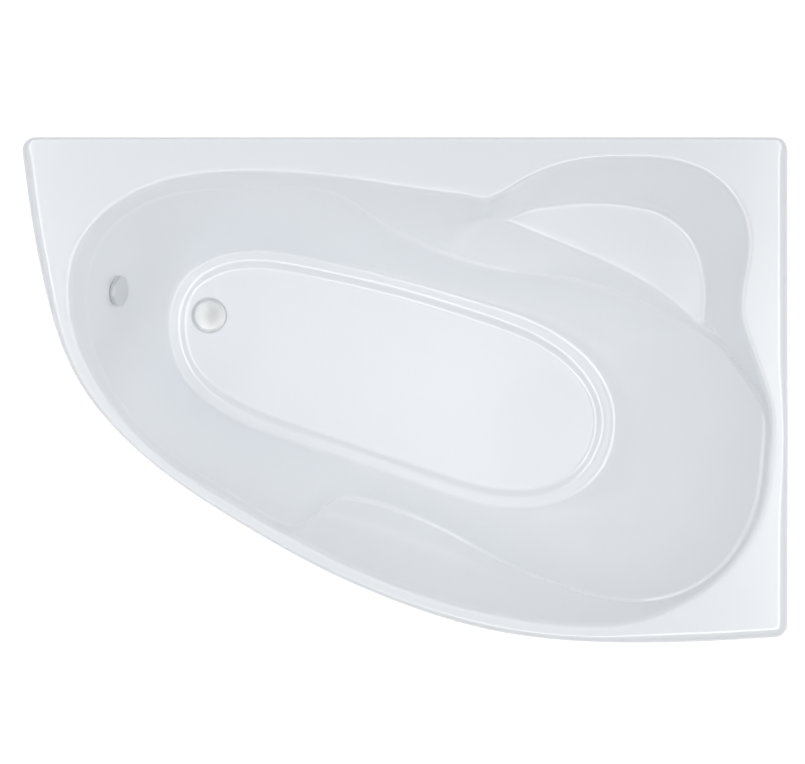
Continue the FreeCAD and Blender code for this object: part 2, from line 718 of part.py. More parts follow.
def rails():
    """The frame's rails, butted and mitred against each other, by name."""
    left_x = plan((LEFT_CROSS_SHARE, 0)).x
    middle_x = plan((MIDDLE_CROSS_SHARE, 0)).x
    front_start = plan((FRONT_RAIL_START_SHARE, 0)).x
    left_front = plan((0, LEFT_CROSS_FRONT_SHARE)).y
    diagonal_y = plan((0, DIAGONAL_END_SHARE)).y
    seat_y = plan((0, SEAT_RAIL_SHARE)).y
    half = RAIL / 2

    def level_tube(x_start, y_start, x_end, y_end):
        return square_tube(Vector(x_start, y_start, RAIL_LEVEL), Vector(x_end, y_end, RAIL_LEVEL))

    run = Vector(front_start, FRONT_RAIL_Y, RAIL_LEVEL) - Vector(left_x, diagonal_y, RAIL_LEVEL)
    reach = run.normalize() * RAIL
    diagonal = square_tube(Vector(left_x, diagonal_y, RAIL_LEVEL) - reach,
                           Vector(front_start, FRONT_RAIL_Y, RAIL_LEVEL) + reach)
    keep = Part.makeBox(front_start - left_x - half, TUB_WIDTH, 2 * RAIL,
                        Vector(left_x + half, -TUB_WIDTH / 2, RAIL_BOTTOM - half))
    return {
        "back_rail": level_tube(LEFT_POST_X - half, BACK_RAIL_Y, RIGHT_RAIL_X + half, BACK_RAIL_Y),
        "right_rail": level_tube(RIGHT_RAIL_X, FRONT_RAIL_Y + half, RIGHT_RAIL_X, BACK_RAIL_Y - half),
        "front_rail": level_tube(front_start, FRONT_RAIL_Y, RIGHT_RAIL_X + half, FRONT_RAIL_Y),
        "diagonal_rail": diagonal.common(keep),
        "left_cross_rail": level_tube(left_x, left_front, left_x, BACK_RAIL_Y - half),
        "middle_cross_rail": level_tube(middle_x, FRONT_RAIL_Y + half, middle_x, BACK_RAIL_Y - half),
        "seat_rail": level_tube(middle_x + half, seat_y, RIGHT_RAIL_X - half, seat_y)}


def post(x, y, top, screw_places):
    """Upright tube with a screw plate welded on its top."""
    plate_bottom = top - POST_PLATE_THICKNESS
    plate = Part.makeBox(POST_PLATE, POST_PLATE, POST_PLATE_THICKNESS,
                         Vector(x - POST_PLATE / 2, y - POST_PLATE / 2, plate_bottom))
    upright = square_tube(Vector(x, y, RAIL_TOP), Vector(x, y, plate_bottom))
    solid = upright.fuse(plate)
    for place in screw_places:
        above = place + UP * (POST_PLATE_THICKNESS + OVERRUN)
        solid = solid.cut(rod(SCREW_DIAMETER, place + DOWN * OVERRUN, above))
    return solid


def plate_screw_places(x, y, top):
    """Undersides of a post plate where its four screws go in."""
    pitch = POST_PLATE * SCREW_PITCH_SHARE / 2
    return [Vector(x + across * pitch, y + along * pitch, top - POST_PLATE_THICKNESS)
            for across in (-1, 1) for along in (-1, 1)]


def wood_screw(head_seat, grip):
    """Screw driven upwards from its head seat, through a grip and into the wood above."""
    shank = SCREW_DIAMETER / 2
    tip = grip + SCREW_LENGTH
    return turned([(0, -SCREW_HEAD_HEIGHT), (SCREW_HEAD / 2, -SCREW_HEAD_HEIGHT / 2), (SCREW_HEAD / 2, 0),
                   (shank, 0), (shank, tip - SCREW_DIAMETER), (0, tip)], head_seat)


def with_screw_holes(solid, head_seats, grip):
    """Solid with the holes that wood screws fill."""
    for seat in head_seats:
        solid = solid.cut(wood_screw(seat, grip))
    return solid


def board_screw_places(legs):
    """Undersides of the two cross rails under the base board where its screws go in, clear of the legs."""
    front, centre = legs["front_left"], legs["centre"]
    reach = Vector(0, BOARD_SCREW_REACH, 0)
    places = [front + Vector(0, BOARD_SCREW_STANDOFF, 0), Vector(front.x, centre.y, 0) + reach,
              centre - reach, centre + reach]
    return [place + UP * RAIL_BOTTOM for place in places]


# Legs

def leg_places():
    """Where the five legs stand, by name."""
    front_corner = (LEFT_CROSS_SHARE, LEFT_CROSS_FRONT_SHARE)
    return {"back_left": Vector(LEFT_POST_X + LEG_STANDOFF, BACK_RAIL_Y, 0),
            "back_right": Vector(RIGHT_RAIL_X - LEG_STANDOFF, BACK_RAIL_Y, 0),
            "front_right": Vector(RIGHT_RAIL_X - LEG_STANDOFF, FRONT_RAIL_Y, 0),
            "front_left": plan(front_corner) + Vector(0, FRONT_LEG_STANDOFF, 0),
            "centre": plan((MIDDLE_CROSS_SHARE, CENTRE_LEG_SHARE))}


def leg_sleeve(place):
    """Threaded sleeve welded under a rail."""
    top = place + UP * RAIL_BOTTOM
    return tube(SLEEVE, STUD + 2 * STUD_GAP, top + DOWN * SLEEVE_HEIGHT, top)


def lock_nut(place):
    """Nut tightened against the underside of a sleeve."""
    return hexagon_nut(LOCK_NUT_FLATS, STUD + 2 * STUD_GAP,
                       place + UP * (RAIL_BOTTOM - SLEEVE_HEIGHT - LOCK_NUT_HEIGHT), LOCK_NUT_HEIGHT)


def leg_stud(place):
    """Screw leg from the sole of its foot up into the rail."""
    stud = rod(STUD, place + UP * FOOT_SOLE, place + UP * (RAIL_BOTTOM + RAIL_WALL + STUD_RISE))
    return stud.makeChamfer(STUD_CHAMFER, stud.Edges[:1])


def leg_foot(place):
    """Moulded foot with a tapered boss round the stud."""
    tip = FOOT_BOSS * FOOT_BOSS_TIP_SHARE / 2
    shoulder = FOOT_HEIGHT * MIDDLE_SHARE
    foot = turned([(0, 0), (FOOT / 2, 0), (FOOT / 2, shoulder), (FOOT_BOSS / 2, FOOT_HEIGHT),
                   (tip, FOOT_BOSS_HEIGHT), (0, FOOT_BOSS_HEIGHT)], place)
    return foot.cut(rod(STUD, place + UP * FOOT_SOLE, place + UP * (FOOT_BOSS_HEIGHT + OVERRUN)))


# Waste

def at_drain(height):
    """Point on the waste's axis at a height."""
    return DRAIN + UP * height


def drain_flange():
    """Flange with its throat, and the spokes that hold the latch cartridge."""
    bore = FLANGE_BORE / 2
    edge = FLANGE / 2
    brow = FLANGE_THICKNESS - FLANGE_EDGE
    boss_bottom = BOSS_TOP - SPOKE_HEIGHT
    flange = turned([(bore, -FLANGE_THROAT), (bore + FLANGE_WALL, -FLANGE_THROAT), (bore + FLANGE_WALL, 0),
                     (edge, 0), (edge, brow), (edge - FLANGE_EDGE, FLANGE_THICKNESS),
                     (bore + FLANGE_EDGE, FLANGE_THICKNESS), (bore, brow)], at_drain(FLANGE_SEAT))
    spoke = Part.makeBox(bore + FLANGE_WALL / 2, SPOKE_WIDTH, SPOKE_HEIGHT,
                         at_drain(boss_bottom) - Vector(0, SPOKE_WIDTH / 2, 0))
    for index in range(SPOKE_COUNT):
        turned_spoke = spoke.copy()
        turned_spoke.rotate(DRAIN, UP, FULL_TURN * index / SPOKE_COUNT)
        flange = flange.fuse(turned_spoke)
    flange = flange.fuse(rod(SPOKE_BOSS, at_drain(boss_bottom), at_drain(BOSS_TOP)))
    return flange.cut(rod(CARTRIDGE, at_drain(boss_bottom - OVERRUN), at_drain(BOSS_TOP + OVERRUN)))


def drain_body(port_side):
    """Waste body under the floor, with a socket for the overflow pipe and a spigot for the trap."""
    bore = BODY_BORE / 2
    outer = bore + BODY_WALL
    spigot = TRAP_PIPE / 2
    cone_end = -BODY_HEIGHT - BODY_CONE
    spigot_end = cone_end - BODY_SPIGOT
    body = turned([(0, 0), (BODY_FLANGE / 2, 0), (BODY_FLANGE / 2, -BODY_FLANGE_HEIGHT),
                   (outer, -BODY_FLANGE_HEIGHT), (outer, -BODY_HEIGHT), (spigot, cone_end),
                   (spigot, spigot_end), (0, spigot_end)], at_drain(BODY_TOP))
    centre = at_drain(PORT_LEVEL)
    port_end = centre + port_side * PORT_REACH
    body = body.fuse(rod(SOCKET, centre, port_end))
    hollow = turned([(0, 0), (bore, 0), (bore, -BODY_HEIGHT), (spigot - TRAP_WALL, cone_end),
                     (spigot - TRAP_WALL, spigot_end), (0, spigot_end)], at_drain(BODY_TOP))
    body = body.cut(hollow)
    body = body.cut(rod(PIPE - 2 * PIPE_WALL, centre, port_end))
    return body.cut(rod(SOCKET_BORE, port_end - port_side * SOCKET_DEPTH, port_end + port_side * OVERRUN))


def flat_ring(outer, inner, bottom, height):
    """Flat ring round the waste's axis."""
    return tube(outer, inner, at_drain(bottom), at_drain(bottom + height))


# Press plug

def domed(radius, rim, crown, place, axis=UP):
    """Round cap with a straight rim and a domed top."""
    sphere = (radius * radius + crown * crown) / (2 * crown)
    middle = radius / 2
    shoulder, top = Vector(radius, 0, rim), Vector(0, 0, rim + crown)
    through = Vector(middle, 0, rim + crown - sphere + math.sqrt(sphere * sphere - middle * middle))
    edges = [line(Vector(), Vector(radius, 0, 0)), line(Vector(radius, 0, 0), shoulder),
             arc(shoulder, through, top), line(top, Vector())]
    cap = Part.Face(Part.Wire(edges)).revolve(Vector(), UP, FULL_TURN)
    cap.Placement = FreeCAD.Placement(place, FreeCAD.Rotation(UP, axis))
    return cap


def plug_cap():
    """Domed cap that is pressed to open and close the waste, grooved for its seal."""
    cap = domed(CAP / 2, CAP_RIM, CAP_CROWN, at_drain(CAP_LEVEL))
    return cap.cut(flat_ring(PLUG_SEAL_OUTER, PLUG_SEAL_INNER, CAP_LEVEL, PLUG_SEAL))


def plug_stem():
    """Stem from the cap down to the piston in the cartridge."""
    stem = rod(STEM, at_drain(PISTON_TOP), at_drain(CAP_LEVEL))
    piston_bottom = at_drain(PISTON_TOP - PISTON_HEIGHT)
    return stem.fuse(rod(CARTRIDGE_BORE - 2 * STEM_GAP, piston_bottom, at_drain(PISTON_TOP)))


def plug_cartridge():
    """Latch cartridge that hangs in the flange's boss by its collar."""
    bore = CARTRIDGE_BORE / 2
    mouth = STEM / 2 + STEM_GAP
    collar = SPOKE_BOSS / 2
    floor = CARTRIDGE_FLOOR - CARTRIDGE_HEIGHT
    return turned([(0, -CARTRIDGE_HEIGHT), (CARTRIDGE / 2, -CARTRIDGE_HEIGHT), (CARTRIDGE / 2, 0),
                   (collar, 0), (collar, CARTRIDGE_MOUTH), (mouth, CARTRIDGE_MOUTH), (mouth, 0),
                   (bore, 0), (bore, floor), (0, floor)], at_drain(BOSS_TOP))


def plug_spring():
    """Coil spring under the piston."""
    foot = SPRING_FOOT + SPRING_GAP + SPRING_WIRE / 2
    height = PISTON_TOP - PISTON_HEIGHT - SPRING_GAP - SPRING_WIRE / 2 - foot
    radius = CARTRIDGE_BORE / 2 - SPRING_GAP - SPRING_WIRE / 2
    steps = SPRING_TURNS * SPRING_STEPS
    slope = height / (2 * math.pi * SPRING_TURNS)
    places = []
    for step in range(steps + 1):
        angle = 2 * math.pi * step / SPRING_STEPS
        point = at_drain(foot + slope * angle) + Vector(math.cos(angle), math.sin(angle), 0) * radius
        along = Vector(-math.sin(angle) * radius, math.cos(angle) * radius, slope)
        places.append((point, along.normalize()))
    path = [edge for start, end in zip(places, places[1:]) for edge in biarc(*start, *end)]
    return piped(path, SPRING_WIRE)


# Overflow

def overflow_cap(overflow):
    """Domed cover that stands off the wall on its stud, so that water runs in behind it."""
    inner = -OVERFLOW_CAP_STAND
    radius = OVERFLOW_CAP / 2
    cap = domed(radius, OVERFLOW_CAP_HEIGHT - OVERFLOW_CAP_ROUND, OVERFLOW_CAP_ROUND, overflow.at(inner),
                -overflow.outward)
    hollow = domed(radius - OVERFLOW_CAP_WALL, OVERFLOW_CAP_HEIGHT - OVERFLOW_CAP_ROUND - OVERFLOW_CAP_WALL,
                   OVERFLOW_CAP_ROUND, overflow.at(inner), -overflow.outward)
    stud = overflow.bore(CAP_STUD, inner - OVERFLOW_CAP_HEIGHT + OVERFLOW_CAP_WALL, ELBOW_SEAT)
    return cap.cut(hollow).fuse(stud)


def overflow_faceplate(overflow, shell):
    """Threaded ring against the bathing face, with the boss that takes the cover's stud."""
    tube_end = ELBOW_SEAT + ELBOW_FLANGE_HEIGHT
    plate = overflow.bore(FACEPLATE, -FACEPLATE_HEIGHT, SHEET / 2).cut(shell)
    plate = max(plate.Solids, key=lambda solid: solid.Volume)
    plate = plate.fuse(overflow.bore(FACEPLATE_TUBE, -FACEPLATE_HEIGHT / 2, tube_end))
    plate = plate.cut(overflow.bore(FACEPLATE_TUBE - 2 * FACEPLATE_WALL, -FACEPLATE_HEIGHT - OVERRUN,
                                    tube_end + OVERRUN))
    boss_end = ELBOW_SEAT
    spoke = Part.makeBox(FACEPLATE_TUBE / 2 - FACEPLATE_WALL / 2, FACEPLATE_WALL, boss_end,
                         Vector(0, -FACEPLATE_WALL / 2, 0))
    placement = FreeCAD.Placement(overflow.origin, FreeCAD.Rotation(UP, overflow.outward))
    for index in range(FACEPLATE_LUGS):
        lug = spoke.copy()
        lug.rotate(Vector(), UP, FULL_TURN * index / FACEPLATE_LUGS)
        lug.Placement = placement * lug.Placement
        plate = plate.fuse(lug)
    plate = plate.fuse(overflow.bore(CAP_STUD_BOSS, 0, boss_end))
    return plate.cut(overflow.bore(CAP_STUD, -OVERRUN, boss_end + OVERRUN))


def overflow_gasket(overflow, shell, backing):
    """Rubber ring between the curved back of the wall and the elbow's flat flange."""
    ring_start = SHEET / 2
    gasket = overflow.bore(ELBOW_FLANGE, ring_start, ELBOW_SEAT)
    gasket = gasket.cut(overflow.bore(OVERFLOW_HOLE, ring_start - OVERRUN, ELBOW_SEAT + OVERRUN))
    gasket = gasket.cut(backing).cut(shell)
    return max(gasket.Solids, key=lambda solid: solid.Volume)


def spigot_top(overflow):
    """Point where the elbow's downward socket starts, on the overflow's axis."""
    return overflow.at(ELBOW_SEAT + ELBOW_LENGTH - SOCKET / 2)


def spigot_end(overflow):
    """Lower end of the elbow's socket."""
    return spigot_top(overflow) + DOWN * ELBOW_SPIGOT


def overflow_elbow(overflow):
    """Chamber behind the overflow with a socket that points straight down."""
    top, end = spigot_top(overflow), spigot_end(overflow)
    far = ELBOW_SEAT + ELBOW_LENGTH
    elbow = overflow.bore(ELBOW_FLANGE, ELBOW_SEAT, ELBOW_SEAT + ELBOW_FLANGE_HEIGHT)
    elbow = elbow.fuse(overflow.bore(ELBOW_CHAMBER, ELBOW_SEAT, far)).fuse(rod(SOCKET, top, end))
    elbow = elbow.cut(overflow.bore(FACEPLATE_TUBE + 2 * SOCKET_GAP, ELBOW_SEAT - OVERRUN,
                                    ELBOW_SEAT + ELBOW_FLANGE_HEIGHT + OVERRUN))
    elbow = elbow.cut(overflow.bore(ELBOW_CHAMBER - 2 * ELBOW_WALL, ELBOW_SEAT + ELBOW_FLANGE_HEIGHT,
                                    far - ELBOW_WALL))
    elbow = elbow.cut(rod(PIPE - 2 * PIPE_WALL, top, end))
    return elbow.cut(rod(SOCKET_BORE, end + UP * SOCKET_DEPTH, end + DOWN * OVERRUN))


def overflow_pipe(overflow, port_side):
    """Bent pipe from the elbow's socket down and across to the waste body's socket."""
    upper = spigot_end(overflow) + UP * (SOCKET_DEPTH - SOCKET_GAP)
    corner = Vector(upper.x, upper.y, PORT_LEVEL)
    lower = at_drain(PORT_LEVEL) + port_side * (PORT_REACH - SOCKET_DEPTH + SOCKET_GAP)
    bend_start = corner + UP * PIPE_BEND
    bend_end = corner - port_side * PIPE_BEND
    bend_centre = bend_start - port_side * PIPE_BEND
    through = bend_centre + (corner - bend_centre).normalize() * PIPE_BEND
    path = [line(upper, bend_start), arc(bend_start, through, bend_end), line(bend_end, lower)]
    return piped(path, PIPE).cut(piped(path, PIPE - 2 * PIPE_WALL))


def ribbed_nut(cover_bore, lip_bore, joint, axis, cover, lip):
    """Ribbed hand nut over a pipe joint: it covers one side of the joint and its lip grips the other."""
    bore = cover_bore / 2
    grip = lip_bore / 2
    outer = bore + NUT_WALL
    section = [(bore, -cover), (outer, -cover), (outer, lip), (grip, lip), (grip, 0), (bore, 0)]
    nut = turned(section, joint, axis)
    flute = Part.makeCylinder(2 * NUT_RIB_DEPTH, cover, Vector(outer + NUT_RIB_DEPTH, 0, -cover))
    flutes = []
    for index in range(NUT_RIBS):
        copy = flute.copy()
        copy.rotate(Vector(), UP, FULL_TURN * index / NUT_RIBS)
        flutes.append(copy)
    cutter = Part.makeCompound(flutes)
    cutter.Placement = FreeCAD.Placement(joint, FreeCAD.Rotation(UP, axis))
    return nut.cut(cutter)


# Trap

def trap_bend():
    """U-bend under the waste with its turn towards the wall."""
    inlet = at_drain(SPIGOT_END)
    along = Vector(0, 1, 0)
    dip_start = at_drain(TRAP_DIP)
    dip_bottom = dip_start + along * TRAP_BEND + DOWN * TRAP_BEND
    dip_end = dip_start + along * 2 * TRAP_BEND
    turn_centre = dip_end + along * OUTLET_BEND
    turn_end = turn_centre + UP * OUTLET_BEND
    turn_through = turn_centre + (UP - along).normalize() * OUTLET_BEND
    outlet = turn_end + along * OUTLET_RUN
    path = [line(inlet, dip_start), arc(dip_start, dip_bottom, dip_end),
            arc(dip_end, turn_through, turn_end), line(turn_end, outlet)]
    return piped(path, TRAP_PIPE).cut(piped(path, TRAP_PIPE - 2 * TRAP_WALL)), outlet


def outlet_pipe(start):
    """Straight pipe from the trap to the wall, with a bead that stops the wall's socket short of the nut."""
    end = Vector(start.x, TUB_WIDTH / 2 - OUTLET_STUB, start.z)
    along = (end - start).normalize()
    bead_start = start + along * TRAP_NUT_HEIGHT / 2
    bore = TRAP_PIPE - 2 * TRAP_WALL
    bead = tube(TRAP_PIPE + 2 * OUTLET_BEAD, bore, bead_start, bead_start + along * OUTLET_BEAD_WIDTH)
    return tube(TRAP_PIPE, bore, start, end).fuse(bead)


# Assembly

def group(solids):
    """Separate solids that share one node."""
    return Part.makeCompound(list(solids))


def frame_nodes():
    """Boards, blocks, frame and legs, by name."""
    nodes = {}
    legs = leg_places()
    seat_x, seat_y = plan((SEAT_POST_SHARE, SEAT_RAIL_SHARE)).x, plan((SEAT_POST_SHARE, SEAT_RAIL_SHARE)).y
    block_bottom = RIM_HEIGHT - SHEET - RIM_BLOCK_HEIGHT
    board_screws = board_screw_places(legs)
    post_screws = []
    nodes["base_board"] = with_screw_holes(base_board(), board_screws, RAIL)
    for name, (x, y) in CORNERS.items():
        places = plate_screw_places(x, y, block_bottom)
        nodes["rim_block_" + name] = with_screw_holes(rim_block(x, y), places, POST_PLATE_THICKNESS)
        nodes["post_" + name] = post(x, y, block_bottom, places)
        post_screws += places
    seat_top = SEAT_UNDERSIDE - BOARD
    seat_places = plate_screw_places(seat_x, seat_y, seat_top)
    nodes["seat_board"] = with_screw_holes(seat_board(), seat_places, POST_PLATE_THICKNESS)
    nodes["seat_post"] = post(seat_x, seat_y, seat_top, seat_places)
    post_screws += seat_places
    stud_holes = [rod(STUD + 2 * STUD_GAP, place + UP * (RAIL_BOTTOM - OVERRUN),
                      place + UP * (RAIL_BOTTOM + RAIL_WALL + OVERRUN)) for place in legs.values()]
    screw_holes = [rod(SCREW_DIAMETER, place + DOWN * OVERRUN, place + UP * (RAIL + OVERRUN))
                   for place in board_screws]
    for name, rail in rails().items():
        nodes[name] = rail.cut(stud_holes + screw_holes)
    nodes["post_screws"] = group(wood_screw(place, POST_PLATE_THICKNESS) for place in post_screws)
    nodes["board_screws"] = group(wood_screw(place, RAIL) for place in board_screws)
    nodes["leg_sleeves"] = group(leg_sleeve(place) for place in legs.values())
    nodes["lock_nuts"] = group(lock_nut(place) for place in legs.values())
    for name, place in legs.items():
        nodes["leg_stud_" + name] = leg_stud(place)
        nodes["leg_foot_" + name] = leg_foot(place)
    return nodes


def waste_nodes(overflow, shell, backing):
    """Waste, press plug, overflow, pipe and trap, by name."""
    run = spigot_end(overflow) - DRAIN
    port_side = Vector(run.x, run.y, 0).normalize()
    port_end = at_drain(PORT_LEVEL) + port_side * PORT_REACH
    trap, outlet = trap_bend()
    nut_bore = SOCKET + 2 * SOCKET_GAP
    trap_bore = TRAP_PIPE + 2 * SOCKET_GAP
    trap_cover = TRAP_NUT_HEIGHT / 2
    upper_joint = spigot_end(overflow)
    wall_side = Vector(0, 1, 0)
    return {
        "drain_flange": drain_flange(),
        "drain_seal_top": flat_ring(SEAL_OUTER, DRAIN_HOLE, FLOOR_LEVEL - DRAIN_RECESS, TOP_SEAL),
        "drain_seal_bottom": flat_ring(SEAL_OUTER, DRAIN_HOLE, BODY_TOP, BOTTOM_SEAL),
        "drain_body": drain_body(port_side),
        "plug_cap": plug_cap(),
        "plug_seal": flat_ring(PLUG_SEAL_OUTER, PLUG_SEAL_INNER, CAP_LEVEL, PLUG_SEAL),
        "plug_stem": plug_stem(),
        "plug_cartridge": plug_cartridge(),
        "plug_spring": plug_spring(),
        "overflow_cap": overflow_cap(overflow),
        "overflow_faceplate": overflow_faceplate(overflow, shell),
        "overflow_gasket": overflow_gasket(overflow, shell, backing),
        "overflow_elbow": overflow_elbow(overflow),
        "overflow_pipe": overflow_pipe(overflow, port_side),
        "overflow_nut_upper": ribbed_nut(nut_bore, SOCKET_BORE, upper_joint, DOWN, NUT_COVER, NUT_LIP),
        "overflow_nut_lower": ribbed_nut(nut_bore, SOCKET_BORE, port_end, port_side, NUT_COVER, NUT_LIP),
        "trap_nut": ribbed_nut(trap_bore, trap_bore, at_drain(SPIGOT_END), DOWN, trap_cover, trap_cover),
        "trap_bend": trap,
        "outlet_nut": ribbed_nut(trap_bore, trap_bore, outlet, wall_side, trap_cover, trap_cover),
        "outlet_pipe": outlet_pipe(outlet)}


def main():
    """Build every piece and write one file for each."""
    os.makedirs("parts", exist_ok=True)
    overflow = OverflowAxis()
    shell = acrylic_shell(overflow)
    backing = fibreglass_backing(overflow)
    nodes = {"acrylic_shell": shell, "fibreglass_backing": backing}
    nodes.update(frame_nodes())
    nodes.update(waste_nodes(overflow, shell, backing))
    for name, shape in nodes.items():
        solids = shape.Solids
        shape = solids[0] if len(solids) == 1 else Part.makeCompound(solids)
        shape.exportStep("parts/" + name + ".step")
        print(name, len(solids), round(shape.Volume), shape.isValid())


main()
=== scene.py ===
"""Studio scene of an asymmetric acrylic corner bathtub with a moulded seat, on its frame with its fittings.

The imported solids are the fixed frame. The shell and its laminate are lofted again as fine meshes, the other
pieces are smoothed copies of the solids or modelled on them, and every piece gets a finish made of nodes.
"""
import json
import logging
import math
from collections.abc import Callable, Iterator
from contextlib import contextmanager
from dataclasses import dataclass, field
from enum import Enum

import bmesh
import bpy
import numpy as np
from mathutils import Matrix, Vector


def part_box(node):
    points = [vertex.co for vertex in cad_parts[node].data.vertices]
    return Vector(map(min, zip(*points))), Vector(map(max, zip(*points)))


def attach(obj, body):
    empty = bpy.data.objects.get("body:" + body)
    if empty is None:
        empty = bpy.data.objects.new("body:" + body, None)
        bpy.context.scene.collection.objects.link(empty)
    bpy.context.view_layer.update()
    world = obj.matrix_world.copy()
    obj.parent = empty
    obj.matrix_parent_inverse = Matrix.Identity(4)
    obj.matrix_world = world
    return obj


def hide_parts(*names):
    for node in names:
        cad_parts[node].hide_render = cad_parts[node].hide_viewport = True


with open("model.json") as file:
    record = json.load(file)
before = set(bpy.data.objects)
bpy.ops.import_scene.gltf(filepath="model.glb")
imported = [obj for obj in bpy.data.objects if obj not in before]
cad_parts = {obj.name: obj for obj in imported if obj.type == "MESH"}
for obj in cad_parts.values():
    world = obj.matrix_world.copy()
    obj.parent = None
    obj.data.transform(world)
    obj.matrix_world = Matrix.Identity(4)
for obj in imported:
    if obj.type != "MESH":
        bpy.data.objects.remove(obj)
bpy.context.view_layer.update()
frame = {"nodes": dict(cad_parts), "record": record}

LOG = logging.getLogger("bathtub")
MERGE_DISTANCE = 0.000005
SMOOTH_ANGLE = math.radians(32)
LUMPY_ANGLE = math.radians(60)
FULL_TURN = 2 * math.pi
FACING_DIGITS = 3
TINY = 0.000001
NODE_BODY = {node: body for body, nodes in frame["record"]["behaviour"]["bodies"].items() for node in nodes}

# Plan outlines of the moulding, as shares of the length from the left and of the width from the front
FRONT_CURVE_SHARES = (
    (1.0, 0.012), (0.912, 0.004), (0.8076, 0.0), (0.703, 0.006), (0.624, 0.0218), (0.4935, 0.0794),
    (0.3887, 0.1488), (0.284, 0.238), (0.179, 0.345), (0.1139, 0.4365), (0.0746, 0.516), (0.0327, 0.6825),
    (0.0065, 0.897), (-0.0022, 1.0))
RIM_SHARES = (
    (0.0576, 0.6845), (0.0641, 0.770), (0.1008, 0.849), (0.166, 0.908), (0.284, 0.9365), (0.441, 0.9206),
    (0.559, 0.895), (0.593, 0.886), (0.607, 0.881), (0.623, 0.890), (0.6505, 0.9167), (0.716, 0.9554),
    (0.801, 0.9653), (0.886, 0.9454), (0.936, 0.885), (0.9535, 0.7877), (0.9417, 0.6647), (0.958, 0.5754),
    (0.9777, 0.470), (0.979, 0.371), (0.958, 0.224), (0.8927, 0.1032), (0.8076, 0.0377), (0.729, 0.0288),
    (0.598, 0.0565), (0.441, 0.135), (0.284, 0.260), (0.166, 0.381), (0.0942, 0.512), (0.0668, 0.599))
# Crease under the arm rests: length share, width share, share of the basin's depth, share of the ledge
CREASE_SHARES = (
    (0.079, 0.681, 0.17, 0.0), (0.100, 0.802, 0.17, 0.0), (0.174, 0.883, 0.17, 0.0),
    (0.280, 0.903, 0.17, 0.0), (0.407, 0.893, 0.18, 0.0), (0.466, 0.843, 0.41, 0.3),
    (0.549, 0.786, 0.61, 1.0), (0.633, 0.751, 0.65, 1.0), (0.716, 0.734, 0.63, 0.7),
    (0.798, 0.697, 0.57, 0.5), (0.877, 0.638, 0.45, 0.6), (0.909, 0.609, 0.38, 1.0),
    (0.948, 0.528, 0.21, 1.0), (0.968, 0.464, 0.11, 1.0), (0.967, 0.380, 0.075, 1.0),
    (0.957, 0.270, 0.075, 1.0), (0.921, 0.166, 0.075, 1.0), (0.877, 0.109, 0.11, 1.0),
    (0.813, 0.079, 0.18, 1.0), (0.737, 0.090, 0.32, 1.0), (0.631, 0.147, 0.54, 1.0),
    (0.521, 0.231, 0.69, 1.0), (0.423, 0.274, 0.70, 0.8), (0.378, 0.244, 0.31, 0.0),
    (0.357, 0.228, 0.16, 0.0), (0.281, 0.287, 0.11, 0.0), (0.176, 0.393, 0.11, 0.0),
    (0.109, 0.518, 0.12, 0.0), (0.0855, 0.605, 0.15, 0.0))
SEAT_BACK_SHARES = (
    (0.636, 0.847), (0.663, 0.867), (0.7105, 0.882), (0.765, 0.886), (0.819, 0.875), (0.860, 0.845),
    (0.887, 0.802), (0.9008, 0.746), (0.9075, 0.664), (0.908, 0.617))
SEAT_FRONT_SHARES = ((0.636, 0.847), (0.7105, 0.799), (0.792, 0.7444), (0.860, 0.6806), (0.908, 0.617))
FLOOR_SHARES = (
    (0.1865, 0.630), (0.200, 0.7137), (0.261, 0.761), (0.348, 0.751), (0.493, 0.7004), (0.609, 0.6466),
    (0.725, 0.562), (0.773, 0.4435), (0.7424, 0.3224), (0.667, 0.2808), (0.551, 0.318), (0.377, 0.408),
    (0.261, 0.476), (0.203, 0.549))
BASIN_CENTRE_SHARES = (0.4935, 0.530)
WALL_SEAT_SHARES = (0.62, 0.74)
SEAT_LEAN_SHARE = 0.9
SEAT_LEAN_TURN_SHARE = 0.05
BOWL_PLAN_SHARE = 0.47
BOWL_DEPTH_SHARE = 0.72
BOWL_END_GAIN_SHARE = 0.10
ROUND_LIMIT_SHARE = 0.45


class Slot(Enum):
    """Material slots of the record."""

    ACRYLIC = "acrylic"
    LAMINATE = "laminate"
    CHIPBOARD = "chipboard"
    TIMBER = "timber"
    FRAME_PAINT = "frame_paint"
    ZINC = "zinc"
    STEEL = "steel"
    BRASS = "brass"
    CHROME = "chrome"
    RUBBER = "rubber"
    PIPE_PLASTIC = "pipe_plastic"
    FOOT_PLASTIC = "foot_plastic"


class Axis(Enum):
    """Axes of the shared frame."""

    X = Vector((1, 0, 0))
    Y = Vector((0, 1, 0))
    Z = Vector((0, 0, 1))


class Cloud(Enum):
    """Kinds of cloudy noise: octaves of finer noise, and their strength."""

    SOFT = (2.0, 0.5)
    EVEN = (3.0, 0.5)
    PLAIN = (4.0, 0.5)
    FLOWING = (4.0, 0.55)
    DUSTY = (5.0, 0.6)
    LUMPY = (6.0, 0.6)


